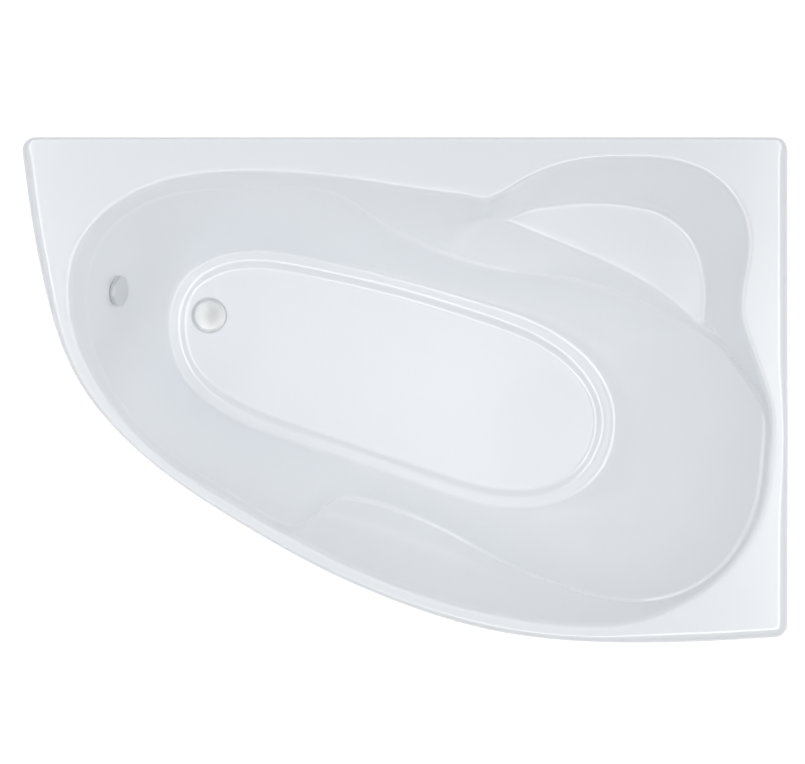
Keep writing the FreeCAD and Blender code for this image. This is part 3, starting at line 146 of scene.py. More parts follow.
class NodeBoard:
    """Short way to lay out the nodes of one material."""

    def __init__(self, name: str) -> None:
        """Start a material with its output and a principled shader.

        Args:
            name: Name of the material.
        """
        self.material = bpy.data.materials.new(name)
        self.material.use_nodes = True
        self.tree = self.material.node_tree
        self.shader = self.tree.nodes["Principled BSDF"]
        self.place = self.tree.nodes.new("ShaderNodeTexCoord").outputs["Object"]

    def set(self, **sockets: float | tuple) -> None:
        """Set constant sockets of the shader, named with underscores for spaces."""
        for name, value in sockets.items():
            self.shader.inputs[name.replace("_", " ")].default_value = value

    def link(self, output: bpy.types.NodeSocket, node: bpy.types.Node, socket: str | int) -> None:
        """Join an output to a node's input."""
        self.tree.links.new(output, node.inputs[socket])

    def stretched(self, scale: tuple[float, float, float]) -> bpy.types.NodeSocket:
        """Object coordinates stretched along the axes.

        Args:
            scale: Factor along each axis.

        Returns:
            The stretched coordinates.
        """
        node = self.tree.nodes.new("ShaderNodeMapping")
        node.inputs["Scale"].default_value = scale
        self.link(self.place, node, "Vector")
        return node.outputs["Vector"]

    def noise(self, scale: float, cloud: Cloud = Cloud.PLAIN,
              place: bpy.types.NodeSocket | None = None) -> bpy.types.NodeSocket:
        """Cloudy noise over the object.

        Args:
            scale: Cells in a metre.
            cloud: Kind of the noise.
            place: Coordinates to use in place of the object's own.

        Returns:
            The noise value.
        """
        node = self.tree.nodes.new("ShaderNodeTexNoise")
        node.inputs["Scale"].default_value = scale
        node.inputs["Detail"].default_value, node.inputs["Roughness"].default_value = cloud.value
        self.link(place or self.place, node, "Vector")
        return node.outputs["Fac"]

    def cells(self, scale: float, place: bpy.types.NodeSocket,
              output: str = "Distance") -> bpy.types.NodeSocket:
        """Cell pattern over the object.

        Args:
            scale: Cells in a metre.
            place: Coordinates of the pattern.
            output: Name of the output to return.

        Returns:
            The chosen output.
        """
        node = self.tree.nodes.new("ShaderNodeTexVoronoi")
        node.inputs["Scale"].default_value = scale
        self.link(place, node, "Vector")
        return node.outputs[output]

    def colour(self, value: bpy.types.NodeSocket, *stops: tuple[float, tuple]) -> None:
        """Let a value pick the shader's colour.

        Args:
            value: Value from 0 to 1.
            stops: Positions with their colours.
        """
        node = self.tree.nodes.new("ShaderNodeValToRGB")
        elements = node.color_ramp.elements
        while len(elements) < len(stops):
            elements.new(1.0)
        for element, (position, colour) in zip(elements, stops):
            element.position = position
            element.color = (*colour, 1.0)
        self.link(value, node, "Fac")
        self.link(node.outputs["Color"], self.shader, "Base Color")

    def roughness(self, value: bpy.types.NodeSocket, low: float, high: float) -> None:
        """Let a value spread the shader's roughness.

        Args:
            value: Value from 0 to 1.
            low: Roughness at 0.
            high: Roughness at 1.
        """
        node = self.tree.nodes.new("ShaderNodeMapRange")
        node.inputs["To Min"].default_value = low
        node.inputs["To Max"].default_value = high
        self.link(value, node, "Value")
        self.link(node.outputs["Result"], self.shader, "Roughness")

    def bump(self, value: bpy.types.NodeSocket, height: float, strength: float = 1.0) -> None:
        """Give the shader a relief.

        Args:
            value: Height from 0 to 1.
            height: Full height in metres.
            strength: Strength of the relief.
        """
        node = self.tree.nodes.new("ShaderNodeBump")
        node.inputs["Distance"].default_value = height
        node.inputs["Strength"].default_value = strength
        self.link(value, node, "Height")
        before = self.shader.inputs["Normal"]
        if before.is_linked:
            self.link(before.links[0].from_socket, node, "Normal")
        self.link(node.outputs["Normal"], self.shader, "Normal")


# Places of the darker and the lighter tone along the cloudy noise of a finish
LOW_STOP, HIGH_STOP = 0.3, 0.7


@dataclass(frozen=True)
class Finish:
    """A surface finish that is made once and shared by its pieces."""

    slot: Slot

    def board(self) -> NodeBoard:
        """Start this finish's nodes."""
        return NodeBoard(self.slot.value + "_finish")

    def make(self) -> bpy.types.Material:
        """Material of this finish."""
        raise NotImplementedError


@dataclass(frozen=True)
class CastAcrylic(Finish):
    """Glossy white sanitary acrylic with a cool tint and a faint flow of the sheet."""

    slot: Slot = Slot.ACRYLIC
    light: tuple = (0.890, 0.912, 0.938)
    dark: tuple = (0.878, 0.901, 0.928)
    ior: float = 1.8
    gloss: float = 1.0
    flow_scale: float = 2.2
    peel_scale: float = 38.0
    peel_height: float = 0.00006
    smooth: float = 0.17
    rough: float = 0.22

    def make(self) -> bpy.types.Material:
        """Lay out a soft drift of colour and the long ripple of thermoformed sheet.

        Returns:
            The finished material.
        """
        board = self.board()
        board.set(IOR=self.ior, Specular_IOR_Level=self.gloss)
        board.colour(board.noise(self.flow_scale, Cloud.SOFT), (LOW_STOP, self.dark), (HIGH_STOP, self.light))
        board.roughness(board.noise(self.peel_scale, Cloud.EVEN), self.smooth, self.rough)
        board.bump(board.noise(self.peel_scale, Cloud.SOFT), self.peel_height)
        return board.material


@dataclass(frozen=True)
class GlassLaminate(Finish):
    """Sprayed laminate with chopped strands under a rough resin skin."""

    slot: Slot = Slot.LAMINATE
    resin: tuple = (0.62, 0.60, 0.47)
    strand: tuple = (0.80, 0.79, 0.70)
    ior: float = 1.52
    strand_scales: tuple = (140.0, 120.0)
    strand_runs: tuple = ((0.25, 1.0, 1.0), (1.0, 0.22, 0.6))
    strand_stops: tuple = (0.02, 0.35)
    strand_height: float = 0.0008
    strand_strength: float = 0.6
    gloss_scale: float = 60.0
    smooth: float = 0.35
    rough: float = 0.62
    skin_scale: float = 90.0
    skin_height: float = 0.0012
    skin_strength: float = 0.8

    def make(self) -> bpy.types.Material:
        """Lay out crossed strands in two layers and a lumpy resin skin.

        Returns:
            The finished material.
        """
        board = self.board()
        board.set(IOR=self.ior)
        crossed = board.tree.nodes.new("ShaderNodeMath")
        crossed.operation = "MULTIPLY"
        for layer, (scale, run) in enumerate(zip(self.strand_scales, self.strand_runs)):
            board.link(board.cells(scale, board.stretched(run)), crossed, layer)
        strands = crossed.outputs["Value"]
        board.colour(strands, *zip(self.strand_stops, (self.strand, self.resin)))
        board.roughness(board.noise(self.gloss_scale), self.smooth, self.rough)
        board.bump(strands, self.strand_height, self.strand_strength)
        board.bump(board.noise(self.skin_scale, Cloud.LUMPY), self.skin_height, self.skin_strength)
        return board.material


@dataclass(frozen=True)
class PressedChips(Finish):
    """Raw chipboard of pressed flakes."""

    slot: Slot = Slot.CHIPBOARD
    tones: tuple = ((0.0, (0.30, 0.19, 0.10)), (0.25, (0.52, 0.37, 0.21)), (0.7, (0.66, 0.50, 0.31)),
                    (1.0, (0.75, 0.61, 0.42)))
    flake_scale: float = 420.0
    flake_run: tuple = (0.5, 1.0, 1.6)
    flake_height: float = 0.0003
    flake_strength: float = 0.6
    rough: float = 0.82

    def make(self) -> bpy.types.Material:
        """Lay out flakes of several tones and a fine dusty relief.

        Returns:
            The finished material.
        """
        board = self.board()
        flakes = board.cells(self.flake_scale, board.stretched(self.flake_run), "Color")
        tone = board.tree.nodes.new("ShaderNodeSeparateColor")
        board.link(flakes, tone, "Color")
        board.colour(tone.outputs["Red"], *self.tones)
        board.set(Roughness=self.rough)
        board.bump(tone.outputs["Green"], self.flake_height, self.flake_strength)
        return board.material


@dataclass(frozen=True)
class SawnTimber(Finish):
    """Sawn softwood with grain along one side."""

    slot: Slot = Slot.TIMBER
    early: tuple = (0.72, 0.55, 0.34)
    late: tuple = (0.50, 0.32, 0.16)
    ring_stops: tuple = (0.1, 0.9)
    ring_scale: float = 42.0
    ring_wander: float = 5.0
    ring_detail: float = 3.0
    ring_run: tuple = (0.12, 1.0, 1.0)
    saw_scale: float = 900.0
    saw_run: tuple = (1.0, 0.1, 0.1)
    saw_height: float = 0.0002
    saw_strength: float = 0.5
    rough: float = 0.7

    def make(self) -> bpy.types.Material:
        """Lay out rings of early and late wood and saw marks.

        Returns:
            The finished material.
        """
        board = self.board()
        wave = board.tree.nodes.new("ShaderNodeTexWave")
        wave.inputs["Scale"].default_value = self.ring_scale
        wave.inputs["Distortion"].default_value = self.ring_wander
        wave.inputs["Detail"].default_value = self.ring_detail
        board.link(board.stretched(self.ring_run), wave, "Vector")
        board.colour(wave.outputs["Fac"], *zip(self.ring_stops, (self.early, self.late)))
        board.set(Roughness=self.rough)
        marks = board.noise(self.saw_scale, Cloud.SOFT, board.stretched(self.saw_run))
        board.bump(marks, self.saw_height, self.saw_strength)
        return board.material


@dataclass(frozen=True)
class PowderCoat(Finish):
    """Dark grey powder coat on welded tube."""

    slot: Slot = Slot.FRAME_PAINT
    light: tuple = (0.052, 0.055, 0.060)
    dark: tuple = (0.030, 0.032, 0.035)
    tone_stops: tuple = (0.35, 0.75)
    ior: float = 1.5
    dust_scale: float = 9.0
    gloss_scale: float = 120.0
    smooth: float = 0.36
    rough: float = 0.52
    peel_scale: float = 1500.0
    peel_height: float = 0.00012
    peel_strength: float = 0.5

    def make(self) -> bpy.types.Material:
        """Lay out the fine orange peel and the dust of a powder coat.

        Returns:
            The finished material.
        """
        board = self.board()
        board.set(IOR=self.ior)
        dust = board.noise(self.dust_scale, Cloud.DUSTY)
        board.colour(dust, *zip(self.tone_stops, (self.dark, self.light)))
        board.roughness(board.noise(self.gloss_scale), self.smooth, self.rough)
        board.bump(board.noise(self.peel_scale, Cloud.SOFT), self.peel_height, self.peel_strength)
        return board.material


@dataclass(frozen=True)
class MetalPlate(Finish):
    """Bare or plated metal with fine drawing lines."""

    slot: Slot = Slot.ZINC
    light: tuple = (0.70, 0.70, 0.67)
    dark: tuple = (0.50, 0.50, 0.49)
    smooth: float = 0.22
    rough: float = 0.38
    line_height: float = 0.00003
    line_strength: float = 0.4
    line_scale: float = 2200.0
    line_run: tuple = (0.05, 1.0, 1.0)
    cloud_scale: float = 160.0
    gloss_scale: float = 400.0

    def make(self) -> bpy.types.Material:
        """Lay out a cloudy plate, changing gloss and faint lines.

        Returns:
            The finished material.
        """
        board = self.board()
        board.set(Metallic=1.0)
        cloud = board.noise(self.cloud_scale, Cloud.DUSTY)
        board.colour(cloud, (LOW_STOP, self.dark), (HIGH_STOP, self.light))
        board.roughness(board.noise(self.gloss_scale, Cloud.EVEN), self.smooth, self.rough)
        lines = board.noise(self.line_scale, Cloud.SOFT, board.stretched(self.line_run))
        board.bump(lines, self.line_height, self.line_strength)
        return board.material


@dataclass(frozen=True)
class MouldedPlastic(Finish):
    """Injection moulded plastic with a fine spark texture."""

    slot: Slot = Slot.PIPE_PLASTIC
    light: tuple = (0.80, 0.80, 0.77)
    dark: tuple = (0.72, 0.72, 0.70)
    smooth: float = 0.32
    rough: float = 0.46
    ior: float = 1.49
    flow_scale: float = 24.0
    gloss_scale: float = 300.0
    grain_scale: float = 2600.0
    grain_height: float = 0.00005
    grain_strength: float = 0.5

    def make(self) -> bpy.types.Material:
        """Lay out flow marks in its colour and a fine grain.

        Returns:
            The finished material.
        """
        board = self.board()
        board.set(IOR=self.ior)
        flow = board.noise(self.flow_scale, Cloud.FLOWING)
        board.colour(flow, (LOW_STOP, self.dark), (HIGH_STOP, self.light))
        board.roughness(board.noise(self.gloss_scale), self.smooth, self.rough)
        board.bump(board.noise(self.grain_scale, Cloud.SOFT), self.grain_height, self.grain_strength)
        return board.material


FINISHES: tuple[Finish, ...] = (
    CastAcrylic(), GlassLaminate(), PressedChips(), SawnTimber(), PowderCoat(), MetalPlate(),
    MetalPlate(Slot.STEEL, (0.66, 0.66, 0.66), (0.52, 0.52, 0.53), smooth=0.18, rough=0.30),
    MetalPlate(Slot.BRASS, (0.78, 0.60, 0.30), (0.62, 0.46, 0.20), smooth=0.20, rough=0.32),
    MetalPlate(Slot.CHROME, (0.78, 0.79, 0.79), (0.75, 0.76, 0.76), smooth=0.35, rough=0.39,
               line_height=0.000004),
    MouldedPlastic(Slot.RUBBER, (0.030, 0.030, 0.030), (0.018, 0.018, 0.018), smooth=0.55, rough=0.75),
    MouldedPlastic(),
    MouldedPlastic(Slot.FOOT_PLASTIC, (0.040, 0.040, 0.042), (0.024, 0.024, 0.025), smooth=0.45, rough=0.6))


def fresh(add: Callable, name: str, **options: float | str | tuple | Vector) -> bpy.types.Object:
    """Add an object with nothing else selected.

    Args:
        add: Operator that adds it.
        name: Name of the object and of its data.
        options: What the operator is told.

    Returns:
        The new object.
    """
    bpy.ops.object.select_all(action="DESELECT")
    add(**options)
    made = bpy.context.object
    made.name = made.data.name = name
    return made


@contextmanager
def editing(everything: bool = True) -> Iterator[None]:
    """Edit the active piece.

    Args:
        everything: Whether all of the piece is selected at first, or none of it.

    Returns:
        A context that leaves edit mode at its end.
    """
    bpy.ops.object.mode_set(mode="EDIT")
    bpy.ops.mesh.select_all(action="SELECT" if everything else "DESELECT")
    yield
    bpy.ops.object.mode_set(mode="OBJECT")


def turn_outwards() -> None:
    """Turn every face of the edited piece outwards."""
    bpy.ops.mesh.select_all(action="SELECT")
    bpy.ops.mesh.normals_make_consistent(inside=False)


def foot_of(node: str) -> Vector:
    """Middle of the lowest side of a node's box."""
    low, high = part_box(node)
    return Vector(((low.x + high.x) / 2, (low.y + high.y) / 2, low.z))


class Workshop:
    """Materials by slot, and the operator steps that every sub-assembly shares."""

    def __init__(self) -> None:
        """Make every finish once and note the slot of every node."""
        self.materials = {finish.slot: finish.make() for finish in FINISHES}
        self.node_slot = {row["node"]: Slot(row["material_slot"]) for row in frame["record"]["subparts"]}

    @staticmethod
    def activate(piece: bpy.types.Object) -> None:
        """Select one piece alone and make it active.

        Args:
            piece: The piece.
        """
        bpy.ops.object.select_all(action="DESELECT")
        piece.select_set(True)
        bpy.context.view_layer.objects.active = piece

    def smooth(self, piece: bpy.types.Object, angle: float = SMOOTH_ANGLE) -> None:
        """Shade a piece smooth, with edges sharper than an angle kept."""
        self.activate(piece)
        bpy.ops.object.shade_smooth_by_angle(angle=angle)

    def copy_of(self, node: str, name: str) -> bpy.types.Object:
        """Copy of a node's mesh with its triangles merged.

        Args:
            node: Name of the node.
            name: Name of the copy.

        Returns:
            The copy.
        """
        piece = bpy.data.objects.new(name, frame["nodes"][node].data.copy())
        bpy.context.scene.collection.objects.link(piece)
        self.activate(piece)
        with editing():
            bpy.ops.mesh.remove_doubles(threshold=MERGE_DISTANCE)
        return piece

    def loft(self, name: str, rings: np.ndarray) -> bpy.types.Object:
        """Closed skin made by extruding a loop from ring to ring and filling both ends.

        Args:
            name: Name of the piece.
            rings: Points of every ring, as many in each.

        Returns:
            The new piece.
        """
        piece = fresh(bpy.ops.mesh.primitive_circle_add, name, vertices=rings.shape[1], fill_type="NGON")
        with editing():
            self.set_loop(piece, rings[0])
            for ring in rings[1:]:
                bpy.ops.mesh.extrude_region()
                self.set_loop(piece, ring)
            turn_outwards()
        return piece

    @staticmethod
    def set_loop(piece: bpy.types.Object, ring: np.ndarray) -> None:
        """Put the newest loop of an edited piece on the points of a ring.

        Args:
            piece: The edited piece.
            ring: Points of the ring.
        """
        mesh = bmesh.from_edit_mesh(piece.data)
        mesh.verts.ensure_lookup_table()
        for vertex, point in zip(mesh.verts[-len(ring):], ring):
            vertex.co = point
        bmesh.update_edit_mesh(piece.data, loop_triangles=False)

    def modify(self, piece: bpy.types.Object, kind: str, **settings: object) -> None:
        """Give a piece a modifier with some settings, and apply it.

        Args:
            piece: The piece.
            kind: Type of the modifier.
            settings: Values of its properties.
        """
        self.activate(piece)
        bpy.ops.object.modifier_add(type=kind)
        modifier = piece.modifiers[-1]
        for name, value in settings.items():
            setattr(modifier, name, value)
        bpy.ops.object.modifier_apply(modifier=modifier.name)

    def bore(self, piece: bpy.types.Object, radius: float, start: Vector, end: Vector,
             sides: int = 64) -> None:
        """Cut a round hole into a piece.

        Args:
            piece: Piece to cut.
            radius: Radius of the hole.
            start: One end of the hole's axis.
            end: Other end of the axis.
            sides: Sides of the hole.
        """
        run = end - start
        turn = Axis.Z.value.rotation_difference(run).to_euler()
        cutter = fresh(bpy.ops.mesh.primitive_cylinder_add, "cutter", vertices=sides, radius=radius,
                       depth=run.length, location=(start + end) / 2, rotation=turn)
        bpy.ops.object.transform_apply(location=True, rotation=True, scale=True)
        self.modify(piece, "BOOLEAN", operation="DIFFERENCE", solver="EXACT", object=cutter)
        bpy.data.objects.remove(cutter)

    def turned(self, name: str, profile: list[np.ndarray], base: Vector, axis: Vector,
               sides: int = 96) -> bpy.types.Object:
        """Piece turned from a profile about an axis.

        Args:
            name: Name of the piece.
            profile: Radius and height of every point, from the axis round to the axis again.
            base: Point on the axis at height zero.
            axis: Direction of the heights.
            sides: Columns round the piece.

        Returns:
            The new piece.
        """
        turn = np.array(Axis.Z.value.rotation_difference(axis).to_matrix())
        angles = np.linspace(0, FULL_TURN, sides, endpoint=False)
        circle = np.column_stack((np.cos(angles), np.sin(angles), np.zeros(sides)))
        rings = [(circle * radius + np.array((0, 0, height))) @ turn.T for radius, height in profile]
        return self.loft(name, np.array(rings) + np.array(base))

    def join(self, pieces: list[bpy.types.Object], name: str) -> bpy.types.Object:
        """Join pieces into the first one.

        Args:
            pieces: Pieces to join.
            name: Name of the joined piece.

        Returns:
            The joined piece.
        """
        bpy.ops.object.select_all(action="DESELECT")
        for piece in pieces:
            piece.select_set(True)
        bpy.context.view_layer.objects.active = pieces[0]
        bpy.ops.object.join()
        pieces[0].name = pieces[0].data.name = name
        return pieces[0]

    def twin(self, piece: bpy.types.Object, name: str, shift: Vector) -> bpy.types.Object:
        """Copy of a piece at another place, which is in its mesh.

        Args:
            piece: Piece to copy.
            name: Name of the copy.
            shift: How far the copy is moved.

        Returns:
            The copy.
        """
        self.activate(piece)
        bpy.ops.object.duplicate()
        copy = bpy.context.object
        copy.name = copy.data.name = name
        with editing():
            bpy.ops.transform.translate(value=shift)
        return copy

    def stand_for(self, piece: bpy.types.Object, node: str, angle: float = SMOOTH_ANGLE) -> None:
        """Smooth and dress a piece in place of its node.

        Args:
            piece: The modelled piece.
            node: Node that it stands for.
            angle: Edges sharper than this stay sharp.
        """
        self.smooth(piece, angle)
        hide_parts(node)
        self.dress(piece, self.node_slot[node], NODE_BODY[node])

    def dress(self, piece: bpy.types.Object, slot: Slot, body: str) -> None:
        """Give a piece its finish and its body, and report it.

        Args:
            piece: The finished piece.
            slot: Slot of its finish.
            body: Body that it rides on.
        """
        piece.data.materials.clear()
        piece.data.materials.append(self.materials[slot])
        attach(piece, body)
        LOG.info("%s: %d faces, %s on %s", piece.name, len(piece.data.polygons), slot.value, body)


def on_round(start: np.ndarray, corner: np.ndarray, end: np.ndarray, share: float) -> np.ndarray:
    """Point, or ring of points, a share of the way round a corner."""
    return start * (1 - share) ** 2 + corner * 2 * share * (1 - share) + end * share ** 2


def eased(points: list[tuple[float, float]], reach: float, rows: int = 5) -> list[np.ndarray]:
    """Profile with its inner corners rounded.

    Args:
        points: Radius and height of every corner.
        reach: How far each round reaches from its corner.
        rows: Points on each round.

    Returns:
        The rounded profile.
    """
    corners = [np.array(point) for point in points]
    made = [corners[0]]
    for before, corner, after in zip(corners, corners[1:], corners[2:]):
        runs = [near - corner for near in (before, after)]
        start, end = (corner + run * min(reach / np.linalg.norm(run), ROUND_LIMIT_SHARE) for run in runs)
        made += [on_round(start, corner, end, share) for share in np.linspace(0, 1, rows)]
    return made + [corners[-1]]


def unit(rows: np.ndarray) -> np.ndarray:
    """Directions scaled to length one."""
    return rows / np.linalg.norm(rows, axis=-1, keepdims=True)


def smooth_line(points: np.ndarray, closed: bool, samples: int) -> np.ndarray:
    """Dense points on a cubic spline through some points, spaced by their chords.

    Args:
        points: One row for each point.
        closed: Whether the line runs back to its first point.
        samples: Number of points to return.

    Returns:
        Points along the line, the first and last alike on a closed one.
    """
    if closed:
        points = np.vstack([points, points[:1]])
    last = len(points) - 1
    steps = np.linalg.norm(np.diff(points, axis=0), axis=1)
    slopes = np.diff(points, axis=0) / steps[:, None]
    system = np.eye(last + 1)
    right = np.zeros_like(points)
    for index in range(1, last):
        before, after = steps[index - 1], steps[index]
        system[index, index - 1:index + 2] = before, 2 * (before + after), after
        right[index] = 6 * (slopes[index] - slopes[index - 1])
    if closed:
        system[0, last] = -1
        system[last, 0], system[last, 1] = 2 * steps[0], steps[0]
        system[last, last - 1], system[last, last] = steps[-1], 2 * steps[-1]
        right[last] = 6 * (slopes[0] - slopes[-1])
    bend = np.linalg.solve(system, right)
    knots = np.concatenate([[0], np.cumsum(steps)])
    spots = np.linspace(0, knots[-1], samples)
    left = np.clip(np.searchsorted(knots, spots, "right") - 1, 0, last - 1)
    step = steps[left][:, None]
    ahead, behind = (knots[left + 1] - spots)[:, None], (spots - knots[left])[:, None]
    curved = (bend[left] * ahead ** 3 + bend[left + 1] * behind ** 3) / (6 * step)
    return (curved + (points[left] / step - bend[left] * step / 6) * ahead
            + (points[left + 1] / step - bend[left + 1] * step / 6) * behind)


@dataclass
class Moulding:
    """Sections and rings of the moulded basin and its deck, in the sizes of the solid shell."""

    length: float = 1.5
    width: float = 0.99
    rim_height: float = 0.62
    depth: float = 0.41
    sheet: float = 0.005
    backing: float = 0.003
    lip_drop: float = 0.045
    lip_round: float = 0.007
    lip_edge: float = 0.0012
    lip_reach_share: float = 0.5
    lip_reach_limit: float = 0.020
    lip_drop_share: float = 0.6
    edge_row_step: int = 3
    reach_blend: int = 15
    corner_round: float = 0.026
    corner_clear_share: float = 1.2
    rim_round: float = 0.012
    rim_inset: float = 0.009
    rim_inset_share: float = 0.5
    seat_depth: float = 0.15
    seat_round: float = 0.012
    seat_back_round: float = 0.016
    seat_back_shift: float = 0.007
    seat_shift_room: float = 0.03
    ledge_width: float = 0.009
    ledge_drop: float = 0.002
    ledge_round: float = 0.0042
    toe_rise: float = 0.010
    toe_width: float = 0.023
    toe_round: float = 0.009
    tread_fall: float = 0.002
    step_run: float = 0.017
    step_round: float = 0.007
    stations: int = 160
    columns_per_station: int = 2
    column_gap: float = 0.02
    corner_columns: int = 14
    corner_points: int = 42
    corner_spread: float = math.radians(2.2)
    samples: int = 1200
    wall_row_shares: tuple[float, ...] = (0.06, 0.3, 0.7, 0.94)
    floor_inset_share: float = 0.985
    centre: np.ndarray = field(init=False)
    angles: np.ndarray = field(init=False)
    columns: np.ndarray = field(init=False)
    edge: np.ndarray = field(init=False)
    outward: np.ndarray = field(init=False)
    corners: np.ndarray = field(init=False)

    def __post_init__(self) -> None:
        """Work out the stations, the columns, the outline and the sections once."""
        self.centre = self.plan(BASIN_CENTRE_SHARES)[:2]
        self.angles = FULL_TURN * np.arange(self.stations) / self.stations
        self.columns = self.column_spots()
        self.edge, self.outward = self.column_edge()
        self.corners = self.section_corners()

    def plan(self, shares: tuple, height: float = 0.0) -> np.ndarray:
        """Point above a place given as shares of the length and the width."""
        return np.array(((shares[0] - 0.5) * self.length, (shares[1] - 0.5) * self.width, height))

    def line(self, shares: tuple, height: float = 0.0, closed: bool = False) -> np.ndarray:
        """Smooth level line through places given as shares.

        Args:
            shares: Places as shares of the length and the width.
            height: Height of the line.
            closed: Whether the line runs back to its first place.

        Returns:
            Dense points along the line.
        """
        return smooth_line(np.array([self.plan(place, height) for place in shares]), closed, self.samples)

    def arc_at(self, corner: np.ndarray, into: np.ndarray, out: np.ndarray) -> np.ndarray:
        """Round of a corner of the outline.

        Args:
            corner: Sharp corner.
            into: Direction towards the corner.
            out: Direction away from it.

        Returns:
            Points on the round, and no others.
        """
        turn = math.acos(float(np.dot(into, out)))
        side = math.copysign(1.0, into[0] * out[1] - into[1] * out[0])
        start = corner - into * self.corner_round * math.tan(turn / 2)
        middle = start + side * self.corner_round * np.array((-into[1], into[0]))
        angles = side * np.linspace(0, turn, self.corner_points)
        swing = start - middle
        return middle + np.column_stack((swing[0] * np.cos(angles) - swing[1] * np.sin(angles),
                                         swing[0] * np.sin(angles) + swing[1] * np.cos(angles)))

    def outline_points(self) -> tuple[np.ndarray, np.ndarray]:
        """Dense outline of the tub with its rounded corners.

        Returns:
            Points round the outline, and their outward directions.
        """
        front = self.line(FRONT_CURVE_SHARES)[:, :2]
        back_right = self.plan((1, 1))[:2]
        right, down = np.array((1.0, 0.0)), np.array((0.0, -1.0))
        first, last = unit(front[1] - front[0]), unit(front[-1] - front[-2])
        arcs = [self.arc_at(front[0], down, first), self.arc_at(front[-1], last, right),
                self.arc_at(back_right, right, down)]
        reach = self.corner_clear_share * self.corner_round
        from_start, from_end = (np.linalg.norm(front - front[end], axis=1) for end in (0, -1))
        clear = (from_start > reach) & (from_end > reach)
        points = np.vstack([arcs[0], front[clear], arcs[1], self.stretch(arcs[1][-1], arcs[2][0]), arcs[2],
                            self.stretch(arcs[2][-1], arcs[0][0])])
        along = np.roll(points, -1, axis=0) - np.roll(points, 1, axis=0)
        return points, unit(np.column_stack((-along[:, 1], along[:, 0])))

    def stretch(self, start: np.ndarray, end: np.ndarray) -> np.ndarray:
        """Points inside a straight stretch."""
        return start + (end - start) * np.linspace(0, 1, self.samples // 2)[1:-1, None]

    def column_spots(self) -> np.ndarray:
        """Places of the columns round the basin, closer together at the outline's corners.

        Returns:
            The places in order, in stations.
        """
        spots = list(np.arange(self.stations * self.columns_per_station) / self.columns_per_station)
        for corner in (FRONT_CURVE_SHARES[0], FRONT_CURVE_SHARES[-1], (1, 1)):
            offset = self.plan(corner)[:2] - self.centre
            middle = math.atan2(offset[1], offset[0])
            angles = middle + np.linspace(-self.corner_spread, self.corner_spread, self.corner_columns)
            spots += list(np.mod(angles, FULL_TURN) * self.stations / FULL_TURN)
        spots = np.sort(np.array(spots))
        keep = np.diff(spots, append=spots[0] + self.stations) > self.column_gap
        return spots[keep]

    def column_edge(self) -> tuple[np.ndarray, np.ndarray]:
        """Tub's outline at the columns.

        Returns:
            Points of the outline, and their outward directions.
        """
        angles = FULL_TURN * self.columns / self.stations
        found = self.crossed(np.column_stack(self.outline_points()), angles)
        rays = np.column_stack((np.cos(angles), np.sin(angles)))
        return self.centre + found[:, :1] * rays, unit(found[:, 1:])

    def polar(self, points: np.ndarray) -> tuple[np.ndarray, np.ndarray]:
        """Angle and radius of points about the basin's centre."""
        offset = points[:, :2] - self.centre
        return np.arctan2(offset[:, 1], offset[:, 0]), np.hypot(offset[:, 0], offset[:, 1])

    def crossed(self, points: np.ndarray, angles: np.ndarray) -> np.ndarray:
        """Radius, and the values after x and y, where rays cross a closed line.

        Args:
            points: Points of the line, with at least x and y.
            angles: Angles of the rays.

        Returns:
            One row for each ray.
        """
        turn, radius = self.polar(points)
        values = np.column_stack((radius, points[:, 2:]))
        return np.column_stack([np.interp(angles, turn, column, period=FULL_TURN) for column in values.T])

    def widened(self, points: np.ndarray, distance: float, height: float) -> np.ndarray:
        """Closed line outside a flat one, at another height.

        Args:
            points: Points of the flat line, the first and last alike.
            distance: How far outside it the new line runs.
            height: Height of the new line.

        Returns:
            Points of the new line, the first and last alike.
        """
        spaced = points[:-1, :2]
        along = np.roll(spaced, -1, axis=0) - np.roll(spaced, 1, axis=0)
        outward = unit(np.column_stack((along[:, 1], -along[:, 0])))
        outward *= np.sign(np.sum(outward * (spaced - self.centre), axis=1))[:, None]
        moved = np.column_stack((spaced + outward * distance, np.full(len(spaced), height)))
        return np.vstack([moved, moved[:1]])

    def section_corners(self) -> np.ndarray:
        """Corners of the moulded face at each station, from the deck to the floor.

        Returns:
            Radius and height of every corner, one row of corners for each station.
        """
        floor_level = self.rim_height - self.depth
        toe_level = floor_level + self.toe_rise
        floor_line = self.line(FLOOR_SHARES, floor_level, True)
        toe_line = self.widened(floor_line, self.step_run + self.toe_width, toe_level)
        step_line = self.widened(floor_line, self.step_run, toe_level - self.tread_fall)
        lines = (self.line(RIM_SHARES, self.rim_height, True), toe_line, step_line, floor_line)
        rim, toe, step, floor = (self.crossed(line, self.angles) for line in lines)
        foot, crease = self.crease_edges(rim)
        room = np.maximum(rim[:, 0] - foot[:, 0], 0)
        rim[:, 0] -= np.minimum(room * self.rim_inset_share, self.rim_inset)
        hollow = BOWL_DEPTH_SHARE + BOWL_END_GAIN_SHARE * np.cos(self.angles)
        bowl = crease + (toe - crease) * np.column_stack((np.full(self.stations, BOWL_PLAN_SHARE), hollow))
        deck = rim + np.array((self.rim_round, 0))
        middle = floor - np.array((self.step_round, 0))
        rows = [deck, rim, *self.seat_edges(rim, foot), foot, crease, bowl, toe, step, floor, middle]
        return np.stack(rows, axis=1)

